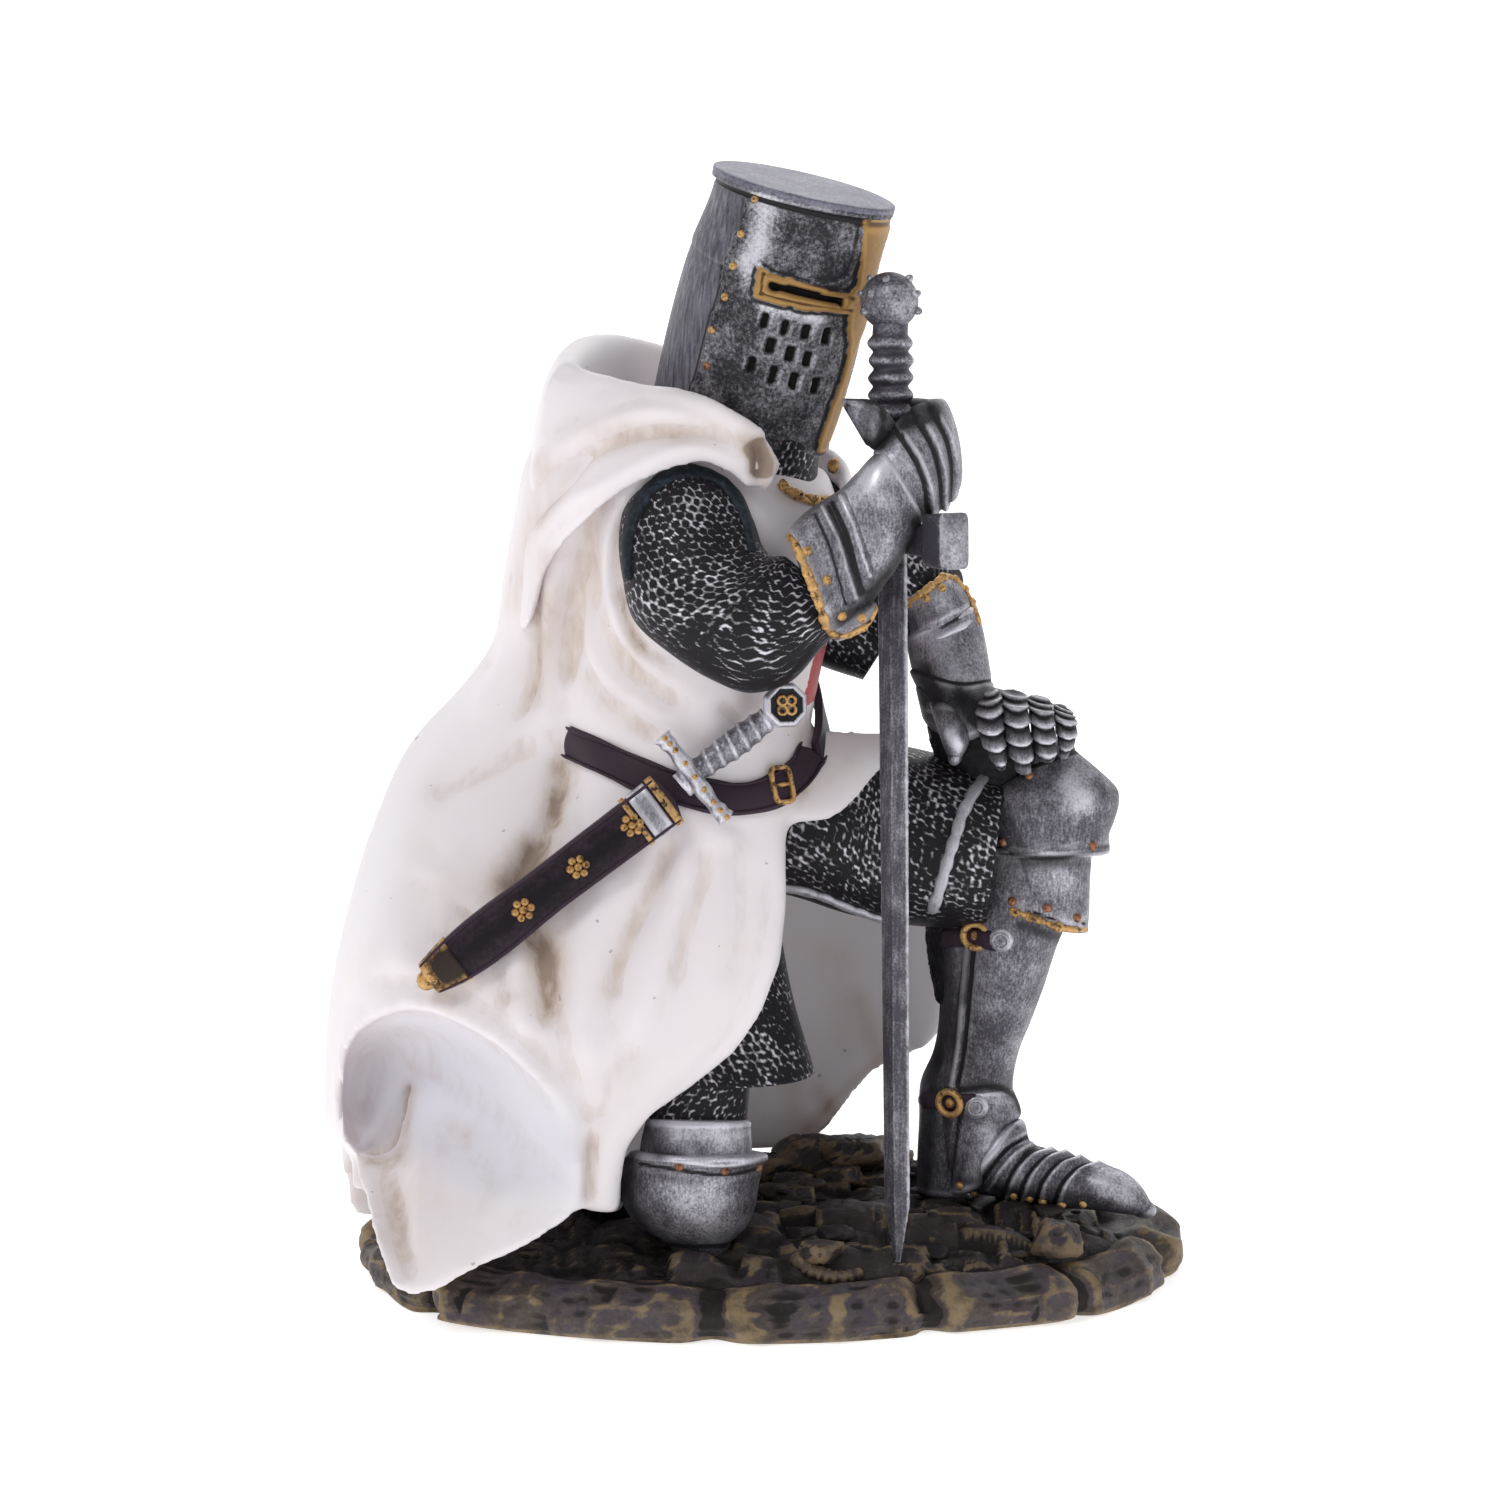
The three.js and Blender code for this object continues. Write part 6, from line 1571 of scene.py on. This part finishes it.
# belt, dagger and the small trims on the cloth
belt = {
    "near": [(567, 741), (600, 756), (650, 779), (700, 794), (745, 799), (772, 792), (798, 773), (813, 752)],
    "width": 5, "buckle": (779, 786), "hub": (-8.5, -12.8, 0),
    "far": [[-8.5, -13.6, 61, 19.6, 18.9], [-8.4, -12.8, 66, 18.8, 18.1], [-8.6, -12, 71, 18.4, 17.8]],
}
dagger = {
    "scabbard": [[-46.4, -37.4, 40.2, 2.3, 1.5], [-43, -37.6, 42.7, 3.2, 1.7], [-28, -36.6, 54.2, 3.45, 1.75],
                 [-12, -34, 66, 3.7, 1.9]],
    "side": (-0.55, 0, 0.83),
    "rosettes": [(632, 825), (578, 867), (523, 910)],
    "guard": [(661, 736), (672, 748), (694, 778), (715, 806), (727, 819)],
    "pommel": (785, 705), "face": (0.25, -1, 0.12),  # the way the eight-sided pommel faces
    "grip": [[-10, -33.6, 67.8, 2, 2], [-7, -33.2, 70.4, 1.75, 1.75], [-2, -32.6, 74, 2.1, 2.1],
             [2.6, -32.2, 77.5, 1.7, 1.7]],
    # metal bands on the scabbard: from, to, paint and how far they stand out
    "bands": ((0, 0.135, 2, 0.35), (0.965, 1, 2, 0.45), (0.86, 0.885, 2, 0.4), (0.885, 0.965, 1, 0.28)),
    "disc": ((-1.5, 0.82), (-1.3, 0.97), (0, 1.06), (1, 0.98), (1.25, 0.86), (1, 0.74), (0.95, 0.2)),
}
trims = {
    "armhole": [(629, 580), (628, 548), (634, 516), (650, 490), (674, 474), (702, 473), (724, 484), (740, 506),
                (749, 534), (751, 552)],
    "braid": [(778, 484), (790, 493), (808, 500), (832, 502)],
    "brooch": (836, 466),
}


def makeBelt(paints, cloth):  # leather, steel, gold
    piece = Piece()
    path, normal = cloth.along(belt["near"], 0.5)
    spread = belt["width"] + 0.25 * np.sin(np.arange(len(path)) * 0.31)
    piece.add(trim(path, normal, spread, 0.85, around=24))
    for side in (-1, 1):
        edge = unit(np.cross(unit(np.gradient(path, axis=0)), normal)) * side * belt["width"] * 0.42
        piece.add(trim(path + edge + normal * 0.62, normal, 0.5, 0.35, around=8))
    # the far half of the belt, round the waist
    strip = Loft(belt["far"], 0.6, side=broad, level=True, power=2.7).points
    level = ground + 65.4 + (strip[..., 1] + 28) * 0.5
    strip[..., 2] = level + np.linspace(-1, 1, len(strip))[:, None] * belt["width"] / 2
    keep = np.where((strip[0, :, 1] > -22) & ((strip[0, :, 0] > -8.5) | (strip[0, :, 1] > -6)))[0]
    gap = np.where(np.diff(keep) > 1)[0]
    keep = np.roll(keep, -(gap[0] + 1)) if len(gap) else keep
    out = unit((strip - np.array(belt["hub"])) * [1, 1, 0])
    piece.add(slab((strip + out * 0.4)[:, keep], 1.2))
    p, n = cloth.pin(*belt["buckle"])
    p = p + n * 0.9
    across = unit(np.cross(n, up))
    _, c, s = oval(40, 4.5)
    path = p + across * (c * 1.6)[:, None] + np.cross(across, n) * (s * 2.6)[:, None]
    piece.add(trim(np.vstack([path, path[:2]]), np.tile(n, (42, 1)), 0.75, 0.55), 2)
    piece.add(trim(np.array([p - across * 1.6, p, p + across * 1.4]), np.tile(n, (3, 1)), 0.7, 0.5), 2)
    return piece.make("sword_belt", paints)


def rosette(centre, normal, size):  # a boss with six petals
    normal, a, b = flatOn(normal)
    petals = centre + wheel(a, b, oval(6)[0] + 0.3) * size * 0.68
    return [dome(centre, normal, size * 0.36, size * 0.42)] + [dome(p, normal, size * 0.34,
                                                                    size * 0.36) for p in petals]


def makeDagger(paints):  # leather, steel, gold
    piece = Piece()
    case = Loft(dagger["scabbard"], 0.4, side=np.array(dagger["side"]), power=3.0)
    piece.add(case.shell(1.2))
    hull = Surface(case.shell())
    for spot in dagger["rosettes"]:
        for form in rosette(*hull.pin(*spot), 1.75):
            piece.add(form, 2)
    # edge beads, then the metal mouth and the chape
    for flip in (-1, 1):
        behind = np.sin(case.angle) * (case.out[0] @ ahead) > 0
        k = int(np.argmin(np.abs(np.cos(case.angle) - flip * 0.86) + behind * 9))
        piece.add(trim(case.points[:, k] + case.normal[:, k] * 0.1, case.normal[:, k], 0.55, 0.4, around=8))
    for first, last, paint, swell in dagger["bands"]:
        n = len(case.points)
        rows = case.points[int(first * n):max(int(last * n), int(first * n) + 3)]
        fat = rows + unit(rows - rows.mean(1, keepdims=True)) * swell
        dark = np.exp(-(np.cos(case.angle) / 0.62) ** 2) * (1.5 if first == 0 else 0.35)
        dark = dark * (ease((np.arange(len(fat)) - 2) / 3)[:, None] if first == 0 else np.ones((len(fat), 1)))
        piece.add(shell(fat, 0.8 * case.axis[0] if first == 0 else 0.0), paint, stain=dark)
    piece.add(dome(case.centre[0] - case.axis[-1] * 0.6, -case.axis[-1], 1.5, 1.4, around=16), 2)
    grip = Loft(dagger["grip"], 0.3)
    twist = 0.5 + 0.5 * np.cos(grip.run[:, None] * 2 * math.pi / 2.1 + grip.angle)
    grip.push(0.28 * (twist ** 2 - 0.4))
    piece.add(grip.shell(), 1)
    flat = unit(dagger["face"])
    p = atPixel(*dagger["pommel"], -33.2)
    a = unit(np.cross(up, flat))
    b = np.cross(flat, a)
    angle = oval(64)[0]
    eight = np.cos(math.pi / 8) / np.cos((angle + math.pi / 8) % (math.pi / 4) - math.pi / 8)
    out = wheel(a, b, angle)
    piece.add(shell(np.array([p + flat * h + out * (3.3 * scale * eight)[:, None] for h, scale in dagger["disc"]])), 1)
    for way in wheel(a, b, oval(4)[0] + math.pi / 4):
        piece.add(ring(p + flat * 1.15 + way * 0.95, flat, 0.62, 0.26, count=16), 2)
    bar = np.array([atPixel(x, y, -34.6) for x, y in dagger["guard"]])
    path = between(bar, np.linspace(0, len(bar) - 1, 46))
    far = np.abs(np.linspace(-1, 1, 46))
    wide = 2.3 + 0.9 * ease((far - 0.75) / 0.2) - 0.3 * np.cos(far * 14)
    piece.add(trim(path, np.tile(flat, (46, 1)), wide, 1.35, around=20), 1)
    for k in np.linspace(2, 43, 9).astype(int):
        piece.add(pebbled(path[k] + flat * 1.2, flat, 0.48, 0.5), 2)
    return piece.make("dagger_and_scabbard", paints)


def makeTrims(paints, cloth, sleeve):  # blue band, gold
    piece = Piece()
    path, normal = sleeve.along(trims["armhole"], 0.4)
    spread = 3.5 * np.sin(np.linspace(0.35, math.pi - 0.2, len(path))) ** 0.6
    spread = spread * (1 + 0.08 * np.sin(np.arange(len(path)) * 1.1))
    piece.add(trim(path, normal, spread, 0.75, around=16))
    path, normal = cloth.along(trims["braid"], 0.25, 0.1)
    side = unit(np.cross(unit(np.gradient(path, axis=0)), normal))
    beat = np.arange(len(path)) * 0.25 * 2 * math.pi / 2.3
    for phase in (0, 2.1, 4.2):
        strand = path + side * (np.sin(beat + phase) * 0.55)[:, None]
        strand = strand + normal * (0.35 + 0.25 * np.cos(beat * 2 + phase))[:, None]
        piece.add(trim(strand, normal, 0.62, 0.34, around=8), 1)
    p, n = cloth.pin(*trims["brooch"])
    piece.add(dome(p + n * 0.4, n, 1.2, 0.9, around=18), 1)
    return piece.make("neck_and_arm_trims", paints)


# everything together
paints = {
    "cloth": paintCloth(), "helm": paintHelm(), "mail": paintMail(), "steel": paintPlate("gauntlet steel", 0.52),
    "legSteel": paintPlate("leg plate steel", 0.40), "blade": paintPlate("sword blade steel", 0.36, (1, 1, 0.06), 0.5),
    "hilt": paintPlate("sword hilt steel", 0.16, (1, 1, 1), 0.45), "leather": paintLeather(),
    "gold": paintGold("rivet gold"), "copper": paintGold("rivet copper", (0.42, 0.19, 0.10), (0.07, 0.024, 0.014)),
}
makeStudio()
makeHelm([paints["helm"], paints["gold"], paints["copper"]])
makeMail([paints["mail"], paints["steel"]])
clothSide = makeCloth(paints["cloth"])
makeHands([paints["steel"], paints["gold"]])
makeLegs([paints["legSteel"], paints["gold"], paints["copper"], paints["leather"]])
makeSword([paints["blade"], paints["hilt"]])
makeRocks(paintRock())
makeBelt([paints["leather"], paints["steel"], paints["gold"]], clothSide)
makeDagger([paints["leather"], paints["steel"], paints["gold"]])
makeTrims([paintTrim(), paints["gold"]], clothSide, Surface(Ribs(mail["sleeve"], 0.6, 2.2, (3, 0)).shell()))
